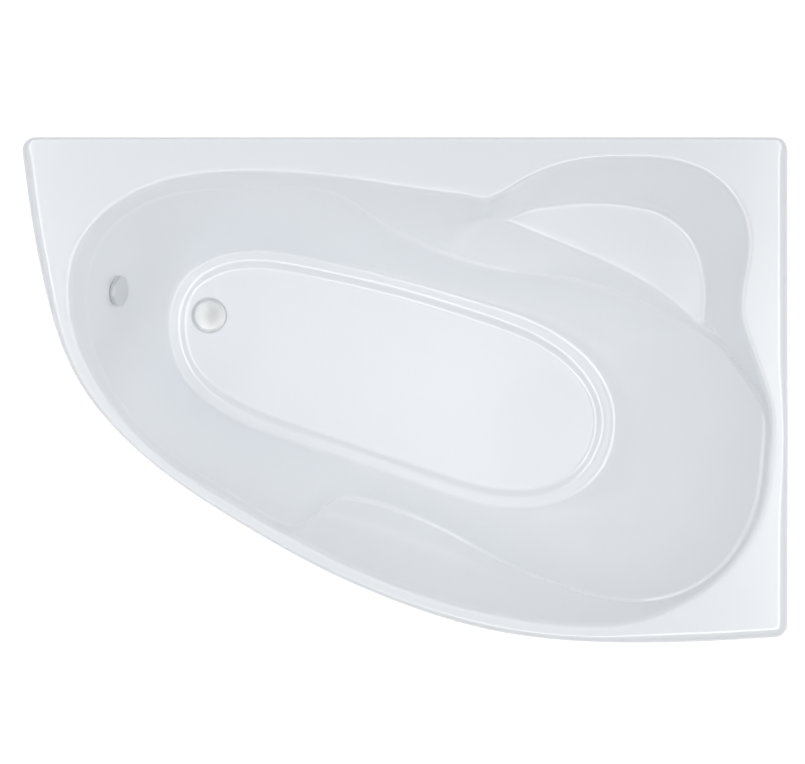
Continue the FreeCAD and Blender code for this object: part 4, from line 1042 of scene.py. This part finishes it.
    def crease_edges(self, rim: np.ndarray) -> tuple[np.ndarray, np.ndarray]:
        """Foot of the wall below the rim, and the crease under the arm rests, for each station.

        Args:
            rim: Radius and height of the rim.

        Returns:
            Radius and height of the foot, and of the crease.
        """
        points = [(*self.plan(row, self.rim_height - row[2] * self.depth), row[3] * self.ledge_width)
                  for row in CREASE_SHARES]
        found = self.crossed(smooth_line(np.array(points), True, self.samples), self.angles)
        crease, ledge = found[:, :2], np.clip(found[:, 2:] / self.ledge_width, 0, 1)
        slope = rim - crease
        plain_foot = crease + slope * self.ledge_width / np.linalg.norm(slope, axis=1)[:, None]
        ledge_foot = crease + np.array((self.ledge_width, self.ledge_drop))
        return plain_foot + (ledge_foot - plain_foot) * ledge, crease

    def seat_edges(self, rim: np.ndarray, foot: np.ndarray) -> list[np.ndarray]:
        """Back and front edge of the seat for each station, run out into the wall beside the seat.

        Args:
            rim: Radius and height of the rim.
            foot: Radius and height of the foot of the wall below it.

        Returns:
            Radius and height of the back edge, and of the front edge.
        """
        level = self.rim_height - self.seat_depth
        edges = []
        for shares, wall_share in zip((SEAT_BACK_SHARES, SEAT_FRONT_SHARES), WALL_SEAT_SHARES):
            edge = self.line(shares, level)
            turn, radius = self.polar(edge)
            wall = rim + (foot - rim) * wall_share
            away = np.abs(np.angle(np.exp(1j * (self.angles - turn[0])))) / FULL_TURN
            near = np.clip(1 - away / SEAT_LEAN_TURN_SHARE, 0, 1)[:, None]
            lean = SEAT_LEAN_SHARE * near ** 2 * (3 - 2 * near)
            wall = wall + (np.array((radius[0], level)) - wall) * lean
            inside = (self.angles > turn.min()) & (self.angles < turn.max())
            edges.append(np.where(inside[:, None], self.crossed(edge, self.angles), wall))
        room = np.clip((edges[0][:, 0] - edges[1][:, 0]) / self.seat_shift_room, 0, 1)
        edges[0][:, 0] += self.seat_back_shift * room * (edges[0][:, 1] <= level)
        return edges

    def rounds(self, distance: float) -> list[list[np.ndarray]]:
        """Start, corner and end of every round of the face a distance below the moulded one.

        Args:
            distance: Distance below the moulded face.

        Returns:
            Three arrays of radius and height for each inner corner.
        """
        sizes = [0, self.rim_round, self.seat_back_round, self.seat_round, self.ledge_round, self.ledge_round,
                 None, self.toe_round, self.step_round, self.step_round, 0]
        last = len(sizes) - 1
        stretches = np.diff(self.corners, axis=1)
        lengths = np.linalg.norm(stretches, axis=2)
        below = np.stack((-stretches[:, :, 1], stretches[:, :, 0]), axis=2) / lengths[:, :, None] * distance
        made = []
        for index in range(1, last):
            corner = self.corners[:, index]
            ends = []
            for neighbour, stretch in ((index - 1, index - 1), (index + 1, index)):
                if neighbour in (0, last):
                    share = np.ones(self.stations)
                elif sizes[index] is None:
                    share = 1 - np.minimum(sizes[neighbour] / lengths[:, stretch], ROUND_LIMIT_SHARE)
                else:
                    share = np.minimum(sizes[index] / lengths[:, stretch], ROUND_LIMIT_SHARE)
                place = corner + (self.corners[:, neighbour] - corner) * share[:, None]
                ends.append(place + below[:, stretch])
            first, second = below[:, index - 1], below[:, index]
            spread = distance ** 2 + np.sum(first * second, axis=1)
            mitre = (first + second) * (distance ** 2 / spread)[:, None] if distance else 0
            made.append([ends[0], corner + mitre, ends[1]])
        return made

    def ring(self, pairs: np.ndarray) -> np.ndarray:
        """Smooth ring steered by one radius and height for each station, at the columns.

        Args:
            pairs: Radius and height for each station.

        Returns:
            One point for each column.
        """
        poles = np.column_stack((self.centre[0] + pairs[:, 0] * np.cos(self.angles),
                                 self.centre[1] + pairs[:, 0] * np.sin(self.angles), pairs[:, 1]))
        base = np.floor(self.columns).astype(int)
        part = (self.columns - base)[:, None]
        weights = ((1 - part) ** 3 / 6, (3 * part ** 3 - 6 * part ** 2 + 4) / 6,
                   (-3 * part ** 3 + 3 * part ** 2 + 3 * part + 1) / 6, part ** 3 / 6)
        shifts = (-1, 0, 1, 2)
        return sum(weight * poles[(base + shift) % self.stations] for weight, shift in zip(weights, shifts))

    @staticmethod
    def apart(first: np.ndarray, second: np.ndarray) -> bool:
        """Whether two rings lie apart anywhere."""
        return bool(np.max(np.linalg.norm(first - second, axis=1)) > MERGE_DISTANCE)

    def basin_rings(self, distance: float, round_rows: int, bowl_rows: int) -> list[np.ndarray]:
        """Rings of the basin from the deck down to the floor.

        Args:
            distance: Distance below the moulded face.
            round_rows: Rows across each small round.
            bowl_rows: Rows across the large round of the wall.

        Returns:
            The rings in order.
        """
        poles = [[self.ring(pairs) for pairs in corner] for corner in self.rounds(distance)]
        spans = [np.mean(np.linalg.norm(end - start, axis=1)) for start, _, end in poles]
        rings: list[np.ndarray] = []
        for index, (start, corner, end) in enumerate(poles):
            rows = bowl_rows if index == np.argmax(spans) else round_rows
            for share in np.linspace(0, 1, rows):
                ring = on_round(start, corner, end, share)
                if not rings or self.apart(ring, rings[-1]):
                    rings.append(ring)
            following = poles[index + 1][0] if index + 1 < len(poles) else end
            if self.apart(following, end):
                rings += [end + (following - end) * share for share in self.wall_row_shares]
        inner = rings[-1].mean(axis=0)
        rings.append(inner + (rings[-1] - inner) * self.floor_inset_share)
        return rings

    def edge_ring(self, inset: np.ndarray, height: np.ndarray) -> np.ndarray:
        """Ring on the tub's outline, drawn in by an inset, at a height, both given for each column."""
        return np.column_stack((self.edge - self.outward * inset[:, None], height))

    def lip_reach(self, deck: np.ndarray) -> np.ndarray:
        """How far the lip's round reaches over the deck, less where the deck is narrow and along the back.

        Args:
            deck: Ring where the deck meets the basin's rim.

        Returns:
            One length for each column.
        """
        nearest = np.linalg.norm(deck[:, None, :2] - self.edge[None], axis=2).min(axis=0)
        reach = np.clip(self.lip_reach_share * nearest, self.lip_round, self.lip_reach_limit)
        towards_back = np.clip(self.outward[:, 1], 0, 1)
        reach += (self.lip_round - reach) * towards_back
        blend = np.hanning(self.reach_blend)
        padded = np.concatenate((reach[-self.reach_blend:], reach, reach[:self.reach_blend]))
        return np.convolve(padded, blend / blend.sum(), "same")[self.reach_blend:-self.reach_blend]

    def lip_rings(self, rows: int, deck: np.ndarray) -> list[np.ndarray]:
        """Rings of the turned-down lip, from the underside of the deck round its edge to the deck's top.

        Args:
            rows: Rows across the round of the lip.
            deck: Ring where the deck meets the basin's rim.

        Returns:
            The rings in order.
        """
        reach = self.lip_reach(deck)
        drop = self.lip_round + (reach - self.lip_round) * self.lip_drop_share
        top, bottom = self.rim_height, self.rim_height - self.lip_drop
        sheet, edge, even = self.sheet, self.lip_edge, np.ones(len(reach))
        quarter = [(math.sin(angle), math.cos(angle)) for angle in np.linspace(0, math.pi / 2, rows)]
        small = quarter[::self.edge_row_step]
        places = [(reach - (reach - sheet) * sine, top - drop + (drop - sheet) * cosine)
                  for sine, cosine in quarter]
        places += [(even * (sheet - edge * (1 - cosine)), even * (bottom + edge * (1 - sine)))
                   for sine, cosine in small]
        places += [(even * edge * (1 - sine), even * (bottom + edge * (1 - cosine)))
                   for sine, cosine in small]
        places += [(reach * (1 - cosine), top - drop * (1 - sine)) for sine, cosine in quarter]
        return [self.edge_ring(inset, height) for inset, height in places]


@dataclass
class Shell:
    """Moulded acrylic shell with the laminate on its back."""

    shop: Workshop
    moulding: Moulding
    round_rows: int = 7
    lip_rows: int = 10
    bowl_rows: int = 30
    under_round_rows: int = 4
    under_bowl_rows: int = 14
    hold_shares: tuple[float, float] = (0.03, 0.97)
    recess: float = 0.078
    drain_hole: float = 0.05
    overflow_hole: float = 0.044
    laminate_gap: float = 0.0002
    laminate_lump: float = 0.0016
    lump_size: float = 0.02
    lump_level: float = 0.65

    def build(self) -> None:
        """Loft, cut and dress the shell and its laminate."""
        self.acrylic()
        self.laminate()

    def held(self, start: np.ndarray, end: np.ndarray) -> list[np.ndarray]:
        """Two rings that hold a flat stretch flat up to its ends."""
        return [start + (end - start) * share for share in self.hold_shares]

    def acrylic(self) -> None:
        """One skin over both faces of the sheet, with the waste and overflow holes cut through it."""
        sheet = self.moulding.sheet
        under = self.moulding.basin_rings(sheet, self.under_round_rows, self.under_bowl_rows)[::-1]
        over = self.moulding.basin_rings(0.0, self.round_rows, self.bowl_rows)
        lip = self.moulding.lip_rings(self.lip_rows, over[0])
        rings = under + self.held(under[-1], lip[0]) + lip + self.held(lip[-1], over[0]) + over
        piece = self.shop.loft("acrylic_shell_skin", np.array(rings))
        self.cut_holes(piece, True)
        self.shop.stand_for(piece, "acrylic_shell")

    def laminate(self) -> None:
        """Lumpy laminate over the back of the basin."""
        near = self.moulding.sheet + self.laminate_gap
        far = self.moulding.sheet + self.moulding.backing
        inner = self.moulding.basin_rings(near, self.under_round_rows, self.under_bowl_rows)
        outer = self.moulding.basin_rings(far, self.under_round_rows, self.bowl_rows)
        piece = self.shop.loft("fibreglass_back", np.array(inner[::-1] + outer))
        self.lump(piece, len(inner) * len(self.moulding.columns))
        self.cut_holes(piece, False)
        self.shop.stand_for(piece, "fibreglass_backing", LUMPY_ANGLE)

    def lump(self, piece: bpy.types.Object, first: int) -> None:
        """Raise sprayed lumps on the outer face of the laminate.

        Args:
            piece: The laminate.
            first: Number of its first point on the outer face.
        """
        texture = bpy.data.textures.new("sprayed_lumps", "CLOUDS")
        texture.noise_scale = self.lump_size
        group = piece.vertex_groups.new(name="outer_face")
        group.add(list(range(first, len(piece.data.vertices))), 1.0, "REPLACE")
        self.shop.modify(piece, "DISPLACE", texture=texture, texture_coords="LOCAL",
                         strength=self.laminate_lump, mid_level=self.lump_level, vertex_group=group.name)

    def cut_holes(self, piece: bpy.types.Object, recess: bool) -> None:
        """Cut the waste and overflow holes.

        Args:
            piece: Skin to cut.
            recess: Whether the waste's flange has its recess too.
        """
        low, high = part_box("drain_seal_top")
        middle, base = (low + high) / 2, foot_of("drain_seal_top")
        reach = Vector((0, 0, self.drain_hole))
        self.shop.bore(piece, self.drain_hole / 2, middle - reach, middle + reach)
        if recess:
            self.shop.bore(piece, self.recess / 2, base, base + reach)
        crown, outward, length = overflow_axis()
        self.shop.bore(piece, self.overflow_hole / 2, crown, crown + outward * length)


def overflow_axis() -> tuple[Vector, Vector, float]:
    """Axis of the overflow's cover, measured on the solids.

    Returns:
        The cover's crown on the axis, the way out through the wall, and the cover's length with its stud.
    """
    areas: dict[tuple, float] = {}
    for face in frame["nodes"]["overflow_faceplate"].data.polygons:
        facing = tuple(round(value, FACING_DIGITS) for value in face.normal)
        areas[facing] = areas.get(facing, 0.0) + face.area
    outward = Vector(max((facing for facing in areas if facing[0] < 0), key=areas.get)).normalized()
    side = outward.orthogonal().normalized()
    basis = np.array((side, outward.cross(side), outward))
    spots = np.array([vertex.co for vertex in frame["nodes"]["overflow_cap"].data.vertices]) @ basis.T
    low, high = spots.min(axis=0), spots.max(axis=0)
    crown = np.array((*((low + high) / 2)[:2], low[2]))
    return Vector(crown @ basis), outward, float(high[2] - low[2])


@dataclass
class Fittings:
    """Bright covers that show in the basin: the press plug's cap and the overflow's cover."""

    shop: Workshop
    axis_radius: float = 0.0003
    plug_radius: float = 0.032
    plug_rim: float = 0.0024
    plug_crown: float = 0.0034
    plug_edge: float = 0.0012
    crown_rows: int = 14
    cover_radius: float = 0.031
    cover_wall: float = 0.0025
    cover_crown: float = 0.0012
    cover_height: float = 0.012
    cover_edge: float = 0.007
    cover_stud: float = 0.003

    def build(self) -> None:
        """Turn both covers."""
        self.plug_cap()
        self.overflow_cover()

    def crown(self, radius: float, height: float, top: float) -> list[tuple[float, float]]:
        """Shallow dome from its edge up to the axis.

        Args:
            radius: Radius of the edge.
            height: Rise of the dome.
            top: Height of its crown.

        Returns:
            Radius and height of points on the dome.
        """
        bend = (radius ** 2 + height ** 2) / (2 * height)
        radii = np.linspace(radius, self.axis_radius, self.crown_rows)
        return [(float(r), float(top - bend + math.sqrt(bend ** 2 - r ** 2))) for r in radii]

    def plug_cap(self) -> None:
        """Domed cap with an eased edge."""
        corners = [(self.axis_radius, 0.0), (self.plug_radius, 0.0)]
        corners += self.crown(self.plug_radius, self.plug_crown, self.plug_rim + self.plug_crown)
        profile = eased(corners, self.plug_edge)
        piece = self.shop.turned("plug_cap_turned", profile, foot_of("plug_cap"), Axis.Z.value)
        self.shop.stand_for(piece, "plug_cap")

    def overflow_cover(self) -> None:
        """Hollow cover on its stud."""
        crown, outward, length = overflow_axis()
        inner = self.cover_radius - self.cover_wall
        dome = [(radius, self.cover_crown - height)
                for radius, height in self.crown(self.cover_radius, self.cover_crown, self.cover_crown)]
        corners = dome[::-1] + [
            (self.cover_radius, self.cover_height), (inner, self.cover_height),
            (inner, self.cover_edge + self.cover_wall), (self.cover_stud, self.cover_wall + self.cover_crown),
            (self.cover_stud, length), (self.axis_radius, length)]
        piece = self.shop.turned("overflow_cover_turned", eased(corners, self.cover_edge), crown, outward)
        self.shop.stand_for(piece, "overflow_cap")


@dataclass
class ScrewLegs:
    """Threaded studs and ribbed feet of the five legs."""

    shop: Workshop
    legs: tuple[str, ...] = ("back_left", "back_right", "front_right", "front_left", "centre")
    stud_radius: float = 0.006
    thread_depth: float = 0.0009
    pitch: float = 0.00175
    thread_rows: int = 6
    thread_sides: int = 32
    axis_radius: float = 0.0003
    foot_radius: float = 0.028
    foot_edge: float = 0.0058
    foot_slope: tuple[tuple[float, float], ...] = ((0.0150, 0.0072), (0.0125, 0.0105))
    foot_ease: float = 0.0012
    foot_sides: int = 72
    boss_radius: float = 0.0104
    boss_height: float = 0.024
    bore_floor: float = 0.005
    rib_count: int = 10
    rib_half: float = 0.0011
    rib_inner: float = 0.0085
    rib_outer: float = 0.0262
    rib_bottom: float = 0.003
    rib_inner_top: float = 0.0195
    rib_outer_top: float = 0.0062
    rib_ease: float = 0.0005
    rib_ease_rows: int = 2

    def build(self) -> None:
        """Make one stud and one foot and set them at every leg."""
        stud, foot = self.stud(), self.foot()
        start = self.place(self.legs[0])
        for leg in self.legs:
            for node, model in (("leg_stud_" + leg, stud), ("leg_foot_" + leg, foot)):
                piece = self.shop.twin(model, node + "_model", self.place(leg) - start)
                self.shop.stand_for(piece, node)
        for model in (stud, foot):
            bpy.data.objects.remove(model)

    @staticmethod
    def place(leg: str) -> Vector:
        """Middle of a leg's sole."""
        return foot_of("leg_foot_" + leg)

    def stud(self) -> bpy.types.Object:
        """Threaded stud of the first leg: one turn of thread, repeated up the stud, with closed ends.

        Returns:
            The stud.
        """
        low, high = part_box("leg_stud_" + self.legs[0])
        turns = int((high.z - low.z) / self.pitch)
        base = self.place(self.legs[0])
        angles = np.linspace(0, FULL_TURN, self.thread_sides, endpoint=False)
        rings = []
        for row in range(self.thread_rows + 1):
            phase = np.mod(row / self.thread_rows - angles / FULL_TURN, 1.0)
            radius = self.stud_radius - self.thread_depth * np.abs(2 * phase - 1)
            level = np.full(self.thread_sides, low.z + self.pitch * row / self.thread_rows)
            across, back = base.x + radius * np.cos(angles), base.y + radius * np.sin(angles)
            rings.append(np.column_stack((across, back, level)))
        piece = self.shop.loft("stud_model", np.array(rings))
        with editing(False):
            bpy.ops.mesh.select_face_by_sides(number=4, type="GREATER")
            bpy.ops.mesh.delete(type="ONLY_FACE")
        self.shop.modify(piece, "ARRAY", count=turns, use_relative_offset=False, use_constant_offset=True,
                         constant_offset_displace=(0, 0, self.pitch), use_merge_vertices=True,
                         merge_threshold=MERGE_DISTANCE)
        with editing(False):
            bpy.ops.mesh.select_non_manifold()
            bpy.ops.mesh.fill_holes(sides=0)
            turn_outwards()
        return piece

    def foot(self) -> bpy.types.Object:
        """Moulded foot of the first leg, with ribs from its boss to its edge.

        Returns:
            The foot.
        """
        base = self.place(self.legs[0])
        sole = [(self.axis_radius, 0.0), (self.foot_radius, 0.0), (self.foot_radius, self.foot_edge)]
        boss = [(self.boss_radius, self.boss_height), (self.stud_radius, self.boss_height),
                (self.stud_radius, self.bore_floor), (self.axis_radius, self.bore_floor)]
        profile = eased(sole + list(self.foot_slope) + boss, self.foot_ease)
        foot = self.shop.turned("foot_model", profile, base, Axis.Z.value, self.foot_sides)
        ribs = [self.rib(base, FULL_TURN * index / self.rib_count) for index in range(self.rib_count)]
        return self.shop.join([foot] + ribs, "foot_model")

    def rib(self, base: Vector, angle: float) -> bpy.types.Object:
        """One thin rib, a block drawn out into a wedge with eased edges.

        Args:
            base: Middle of the sole.
            angle: Direction of the rib.

        Returns:
            The rib.
        """
        rib = fresh(bpy.ops.mesh.primitive_cube_add, "rib", size=1.0, location=(0, 0, 0))
        along = Vector((math.cos(angle), math.sin(angle), 0))
        across = Vector((-math.sin(angle), math.cos(angle), 0))
        with editing():
            mesh = bmesh.from_edit_mesh(rib.data)
            for vertex in mesh.verts:
                outer, upper = vertex.co.x > 0, vertex.co.z > 0
                reach = self.rib_outer if outer else self.rib_inner
                top = self.rib_outer_top if outer else self.rib_inner_top
                height = top if upper else self.rib_bottom
                side = math.copysign(self.rib_half, vertex.co.y)
                vertex.co = base + along * reach + across * side + Vector((0, 0, height))
            bmesh.update_edit_mesh(rib.data)
            bpy.ops.mesh.bevel(offset=self.rib_ease, segments=self.rib_ease_rows, affect="EDGES")
            turn_outwards()
        return rib


@dataclass
class Welds:
    """Rippled weld beads where the frame's tubes, plates and sleeves meet."""

    shop: Workshop
    bead: float = 0.0021
    corner: float = 0.0035
    ripple: float = 0.00035
    ripples: int = 44
    segments: int = 132
    sides: int = 8
    start_share: float = 0.25
    tube_half: float = 0.0125
    slant_share: float = 1.13
    plate: float = 0.003
    sleeve_radius: float = 0.011

    def build(self) -> None:
        """Lay a bead round every joint and join them into one piece."""
        beads = [self.square(*joint) for joint in self.joints()]
        radius = self.sleeve_radius
        for leg in ScrewLegs.legs:
            middle = ScrewLegs.place(leg)
            middle.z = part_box("leg_sleeves")[1].z
            beads.append(self.laid(middle, Axis.X.value, Axis.Y.value, radius, radius, radius))
        piece = self.shop.join(beads, "weld_beads")
        self.shop.smooth(piece, LUMPY_ANGLE)
        self.shop.dress(piece, Slot.FRAME_PAINT, "tub")

    def joints(self) -> list[tuple[Vector, Axis, float]]:
        """Square joints of the frame, measured on the solids.

        Returns:
            Middle, facing axis and half width of every joint.
        """
        found = []
        for name, first in (("left_cross_rail", 1), ("middle_cross_rail", 0), ("right_rail", 0)):
            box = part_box(name)
            middle = (box[0] + box[1]) / 2
            half = (box[1].x - box[0].x) / 2
            found += [(Vector((middle.x, end.y, middle.z)), Axis.Y, half) for end in box[first:]]
        low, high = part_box("seat_rail")
        middle = (low + high) / 2
        half = (high.z - low.z) / 2
        found += [(Vector((end.x, middle.y, middle.z)), Axis.X, half) for end in (low, high)]
        low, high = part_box("diagonal_rail")
        slant = self.slant_share * half
        found += [(Vector((low.x, high.y - slant, middle.z)), Axis.X, slant),
                  (Vector((high.x, low.y + slant, middle.z)), Axis.X, slant)]
        for name in ("post_back_left", "post_back_right", "post_front_right", "seat_post"):
            low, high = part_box(name)
            centre = (low + high) / 2
            levels = (low.z, high.z - self.plate)
            found += [(Vector((centre.x, centre.y, level)), Axis.Z, half) for level in levels]
        return found

    def square(self, middle: Vector, facing: Axis, half: float) -> bpy.types.Object:
        """Bead round a square tube's end.

        Args:
            middle: Middle of the end.
            facing: Axis that the end faces along.
            half: Half of the end's width.

        Returns:
            The bead.
        """
        first, second = [axis.value for axis in Axis if axis is not facing]
        upright = half if facing is Axis.Z else self.tube_half
        return self.laid(middle, first, second, half, upright, self.corner)

    def laid(self, middle: Vector, first: Vector, second: Vector, half: float, upright: float,
             corner: float) -> bpy.types.Object:
        """Ring drawn out into a rippled bead along a rounded rectangle.

        Args:
            middle: Middle of the rectangle.
            first: Direction of its first side.
            second: Direction of its second side.
            half: Half of the first side.
            upright: Half of the second side.
            corner: Radius of its corners.

        Returns:
            The bead.
        """
        bead = fresh(bpy.ops.mesh.primitive_torus_add, "bead", major_segments=self.segments,
                     minor_segments=self.sides, major_radius=1.0, minor_radius=self.start_share,
                     location=(0, 0, 0))
        normal = first.cross(second)
        with editing():
            mesh = bmesh.from_edit_mesh(bead.data)
            for vertex in mesh.verts:
                flat = Vector((vertex.co.x, vertex.co.y))
                angle = math.atan2(flat.y, flat.x)
                swell = (self.bead + self.ripple * math.cos(self.ripples * angle)) / self.start_share
                spot, side = self.on_rectangle(angle, half, upright, corner)
                spot += side * ((flat.length - 1.0) * swell)
                vertex.co = middle + first * spot.x + second * spot.y + normal * (vertex.co.z * swell)
            bmesh.update_edit_mesh(bead.data)
            turn_outwards()
        return bead

    @staticmethod
    def on_rectangle(angle: float, half: float, upright: float, corner: float) -> tuple[Vector, Vector]:
        """Point of a rounded rectangle in a direction, and the way outwards there.

        Args:
            angle: Direction from the middle.
            half: Half of the first side.
            upright: Half of the second side.
            corner: Radius of the corners.

        Returns:
            The point, and the outward direction.
        """
        turn = Vector((math.cos(angle), math.sin(angle)))
        flat = Vector((half - corner, upright - corner))
        scale = min(half / max(abs(turn.x), TINY), upright / max(abs(turn.y), TINY))
        spot = turn * scale
        inner = Vector((max(-flat.x, min(flat.x, spot.x)), max(-flat.y, min(flat.y, spot.y))))
        side = spot - inner
        side = side.normalized() if side.length > TINY else turn
        return inner + side * corner, side


@dataclass
class PlainPieces:
    """Pieces whose solids have their real shape, shown as smoothed copies."""

    shop: Workshop
    remodelled: tuple[str, ...] = (
        "acrylic_shell", "fibreglass_backing", "plug_cap", "overflow_cap", "leg_stud", "leg_foot")

    def build(self) -> None:
        """Copy, smooth and dress every node that isn't modelled again."""
        for node in sorted(frame["nodes"]):
            if not node.startswith(self.remodelled):
                self.shop.stand_for(self.shop.copy_of(node, node + "_piece"), node)


@dataclass
class Studio:
    """Pale floor, soft light and the camera of the catalogue view."""

    image_width: int = 805
    eye: tuple[float, float, float] = (-0.0049, 0.0157, 4.62)
    focal_pixels: float = 2046.0
    sensor: float = 36.0
    floor_size: float = 40.0
    floor_gap: float = 0.0004
    floor_colour: tuple = (0.92, 0.93, 0.94, 1.0)
    floor_rough: float = 0.9
    floor_glow: float = 1.14
    floor_glow_share: float = 0.78
    world_colour: tuple = (0.95, 0.975, 1.0, 1.0)
    world_strength: float = 0.355
    world_gloss_share: float = 0.15
    aim: tuple[float, float, float] = (0.0, 0.0, 0.45)
    panel_place: tuple[float, float, float] = (1.9, -0.2, 5.6)
    panel_size: tuple[float, float] = (1.4, 4.0)
    panel_power: float = 7.0
    strips: tuple = (("left_strip", (-2.0, 0.0), 19.5), ("right_strip", (2.0, 0.0), 21.0),
                     ("front_strip", (0.0, -1.8), 22.0), ("back_strip", (0.0, 1.8), 10.5))
    strip_height: float = 4.8
    strip_size: tuple[float, float] = (4.0, 0.8)
    fills: tuple = (("left_fill", (-2.9, 0.0), 12.0), ("right_fill", (2.9, 0.0), 15.0),
                    ("front_fill", (0.0, -2.9), 10.0), ("back_fill", (0.0, 2.9), 11.0))
    fill_height: float = 2.1
    fill_size: tuple[float, float] = (3.4, 1.2)
    spots: tuple = (("basin_spot_left", (-0.44, 0.13), 182.0), ("basin_spot_right", (0.33, -0.10), 166.0))
    spot_height: float = 5.5
    spot_radius: float = 0.5
    spot_angle: float = math.radians(14.0)

    def build(self) -> None:
        """Set up the whole studio."""
        scene = bpy.context.scene
        scene.view_settings.view_transform = "Standard"
        self.camera()
        self.floor()
        self.world()
        self.lights()

    def camera(self) -> None:
        """Camera straight above the tub, at the photograph's distance."""
        camera = fresh(bpy.ops.object.camera_add, "catalogue_camera", location=self.eye, rotation=(0, 0, 0))
        camera.data.sensor_width = self.sensor
        camera.data.lens = self.focal_pixels / self.image_width * self.sensor
        bpy.context.scene.camera = camera

    def floor(self) -> None:
        """Plain pale floor that reads as white, keeps a soft shadow and is clear from below."""
        place = (0, 0, -self.floor_gap)
        floor = fresh(bpy.ops.mesh.primitive_plane_add, "studio_floor", size=self.floor_size, location=place)
        board = NodeBoard("studio_floor_finish")
        board.set(Base_Color=self.floor_colour, Roughness=self.floor_rough)
        tree = board.tree
        glow = tree.nodes.new("ShaderNodeEmission")
        glow.inputs["Strength"].default_value = self.floor_glow
        seen = self.seen(tree, self.floor_glow_share, self.floor_glow_share)
        above = self.mixed(tree, seen, board.shader.outputs["BSDF"], glow.outputs["Emission"])
        below = tree.nodes.new("ShaderNodeNewGeometry").outputs["Backfacing"]
        clear = tree.nodes.new("ShaderNodeBsdfTransparent").outputs["BSDF"]
        board.link(self.mixed(tree, below, above, clear), tree.nodes["Material Output"], "Surface")
        floor.data.materials.append(board.material)

    @staticmethod
    def seen(tree: bpy.types.NodeTree, plain: float, gloss: float) -> bpy.types.NodeSocket:
        """Share of the pale background that a ray sees.

        Args:
            tree: Nodes that the share is added to.
            plain: Share for rays from the camera and through clear surfaces.
            gloss: Share for rays mirrored by glossy surfaces.

        Returns:
            The share, which is zero for the rays that only light the object.
        """
        path = tree.nodes.new("ShaderNodeLightPath")
        shares = {"Is Camera Ray": plain, "Is Transmission Ray": plain, "Is Glossy Ray": gloss}
        total = None
        for ray, share in shares.items():
            part = tree.nodes.new("ShaderNodeMath")
            part.operation = "MULTIPLY_ADD"
            part.use_clamp = True
            part.inputs[1].default_value = share
            part.inputs[2].default_value = 0.0
            tree.links.new(path.outputs[ray], part.inputs[0])
            if total is not None:
                tree.links.new(total, part.inputs[2])
            total = part.outputs["Value"]
        return total

    @staticmethod
    def mixed(tree: bpy.types.NodeTree, share: bpy.types.NodeSocket, first: bpy.types.NodeSocket,
              second: bpy.types.NodeSocket) -> bpy.types.NodeSocket:
        """Mix of two shaders.

        Args:
            tree: Nodes that the mix is added to.
            share: Share of the second shader.
            first: First shader.
            second: Second shader.

        Returns:
            The mixed shader.
        """
        mix = tree.nodes.new("ShaderNodeMixShader")
        for place, output in enumerate((share, first, second)):
            tree.links.new(output, mix.inputs[place])
        return mix.outputs["Shader"]

    def world(self) -> None:
        """Even soft light from all round, seen as white by the camera."""
        world = bpy.data.worlds.new("studio_world")
        bpy.context.scene.world = world
        world.use_nodes = True
        tree = world.node_tree
        soft = tree.nodes["Background"]
        soft.inputs["Color"].default_value = self.world_colour
        soft.inputs["Strength"].default_value = self.world_strength
        white = tree.nodes.new("ShaderNodeBackground")
        white.inputs["Color"].default_value = (1.0, 1.0, 1.0, 1.0)
        seen = self.seen(tree, 1.0, self.world_gloss_share)
        mix = self.mixed(tree, seen, soft.outputs["Background"], white.outputs["Background"])
        tree.links.new(mix, tree.nodes["World Output"].inputs["Surface"])

    def lights(self) -> None:
        """A panel and strips that the rounds mirror, and fills and spots that only light the basin."""
        self.softbox("right_panel", self.panel_place, self.panel_size, self.panel_power)
        for name, place, power in self.strips:
            self.softbox(name, (*place, self.strip_height), self.strip_size, power)
        for name, place, power in self.fills:
            self.softbox(name, (*place, self.fill_height), self.fill_size, power, mirrored=False)
        for name, place, power in self.spots:
            self.basin_spot(name, (*place, self.spot_height), power)

    def basin_spot(self, name: str, place: tuple, power: float) -> None:
        """Soft pool of light in the basin, from straight above.

        Args:
            name: Name of the light.
            place: Where it hangs.
            power: Power in watts.
        """
        spot = fresh(bpy.ops.object.light_add, name, type="SPOT", location=place, rotation=(0, 0, 0))
        spot.data.energy = power
        spot.data.shadow_soft_size = self.spot_radius
        spot.data.spot_size = self.spot_angle
        spot.data.spot_blend = 1.0
        spot.visible_camera = spot.visible_glossy = False

    def softbox(self, name: str, place: tuple, size: tuple[float, float], power: float,
                mirrored: bool = True) -> None:
        """Soft light aimed at the basin.

        Args:
            name: Name of the light.
            place: Where it hangs.
            size: Length and height of its face.
            power: Power in watts.
            mirrored: Whether glossy surfaces mirror it.
        """
        turn = (Vector(self.aim) - Vector(place)).to_track_quat("-Z", "Y").to_euler()
        light = fresh(bpy.ops.object.light_add, name, type="AREA", location=place, rotation=turn)
        light.data.shape = "RECTANGLE"
        light.data.size, light.data.size_y = size
        light.data.energy = power
        light.visible_camera = False
        light.visible_glossy = mirrored


def main() -> None:
    """Build the sub-assemblies in order."""
    logging.basicConfig(level=logging.INFO, format="%(name)s %(message)s")
    shop = Workshop()
    Studio().build()
    Shell(shop, Moulding()).build()
    Fittings(shop).build()
    ScrewLegs(shop).build()
    Welds(shop).build()
    PlainPieces(shop).build()


if __name__ == "__main__":
    main()
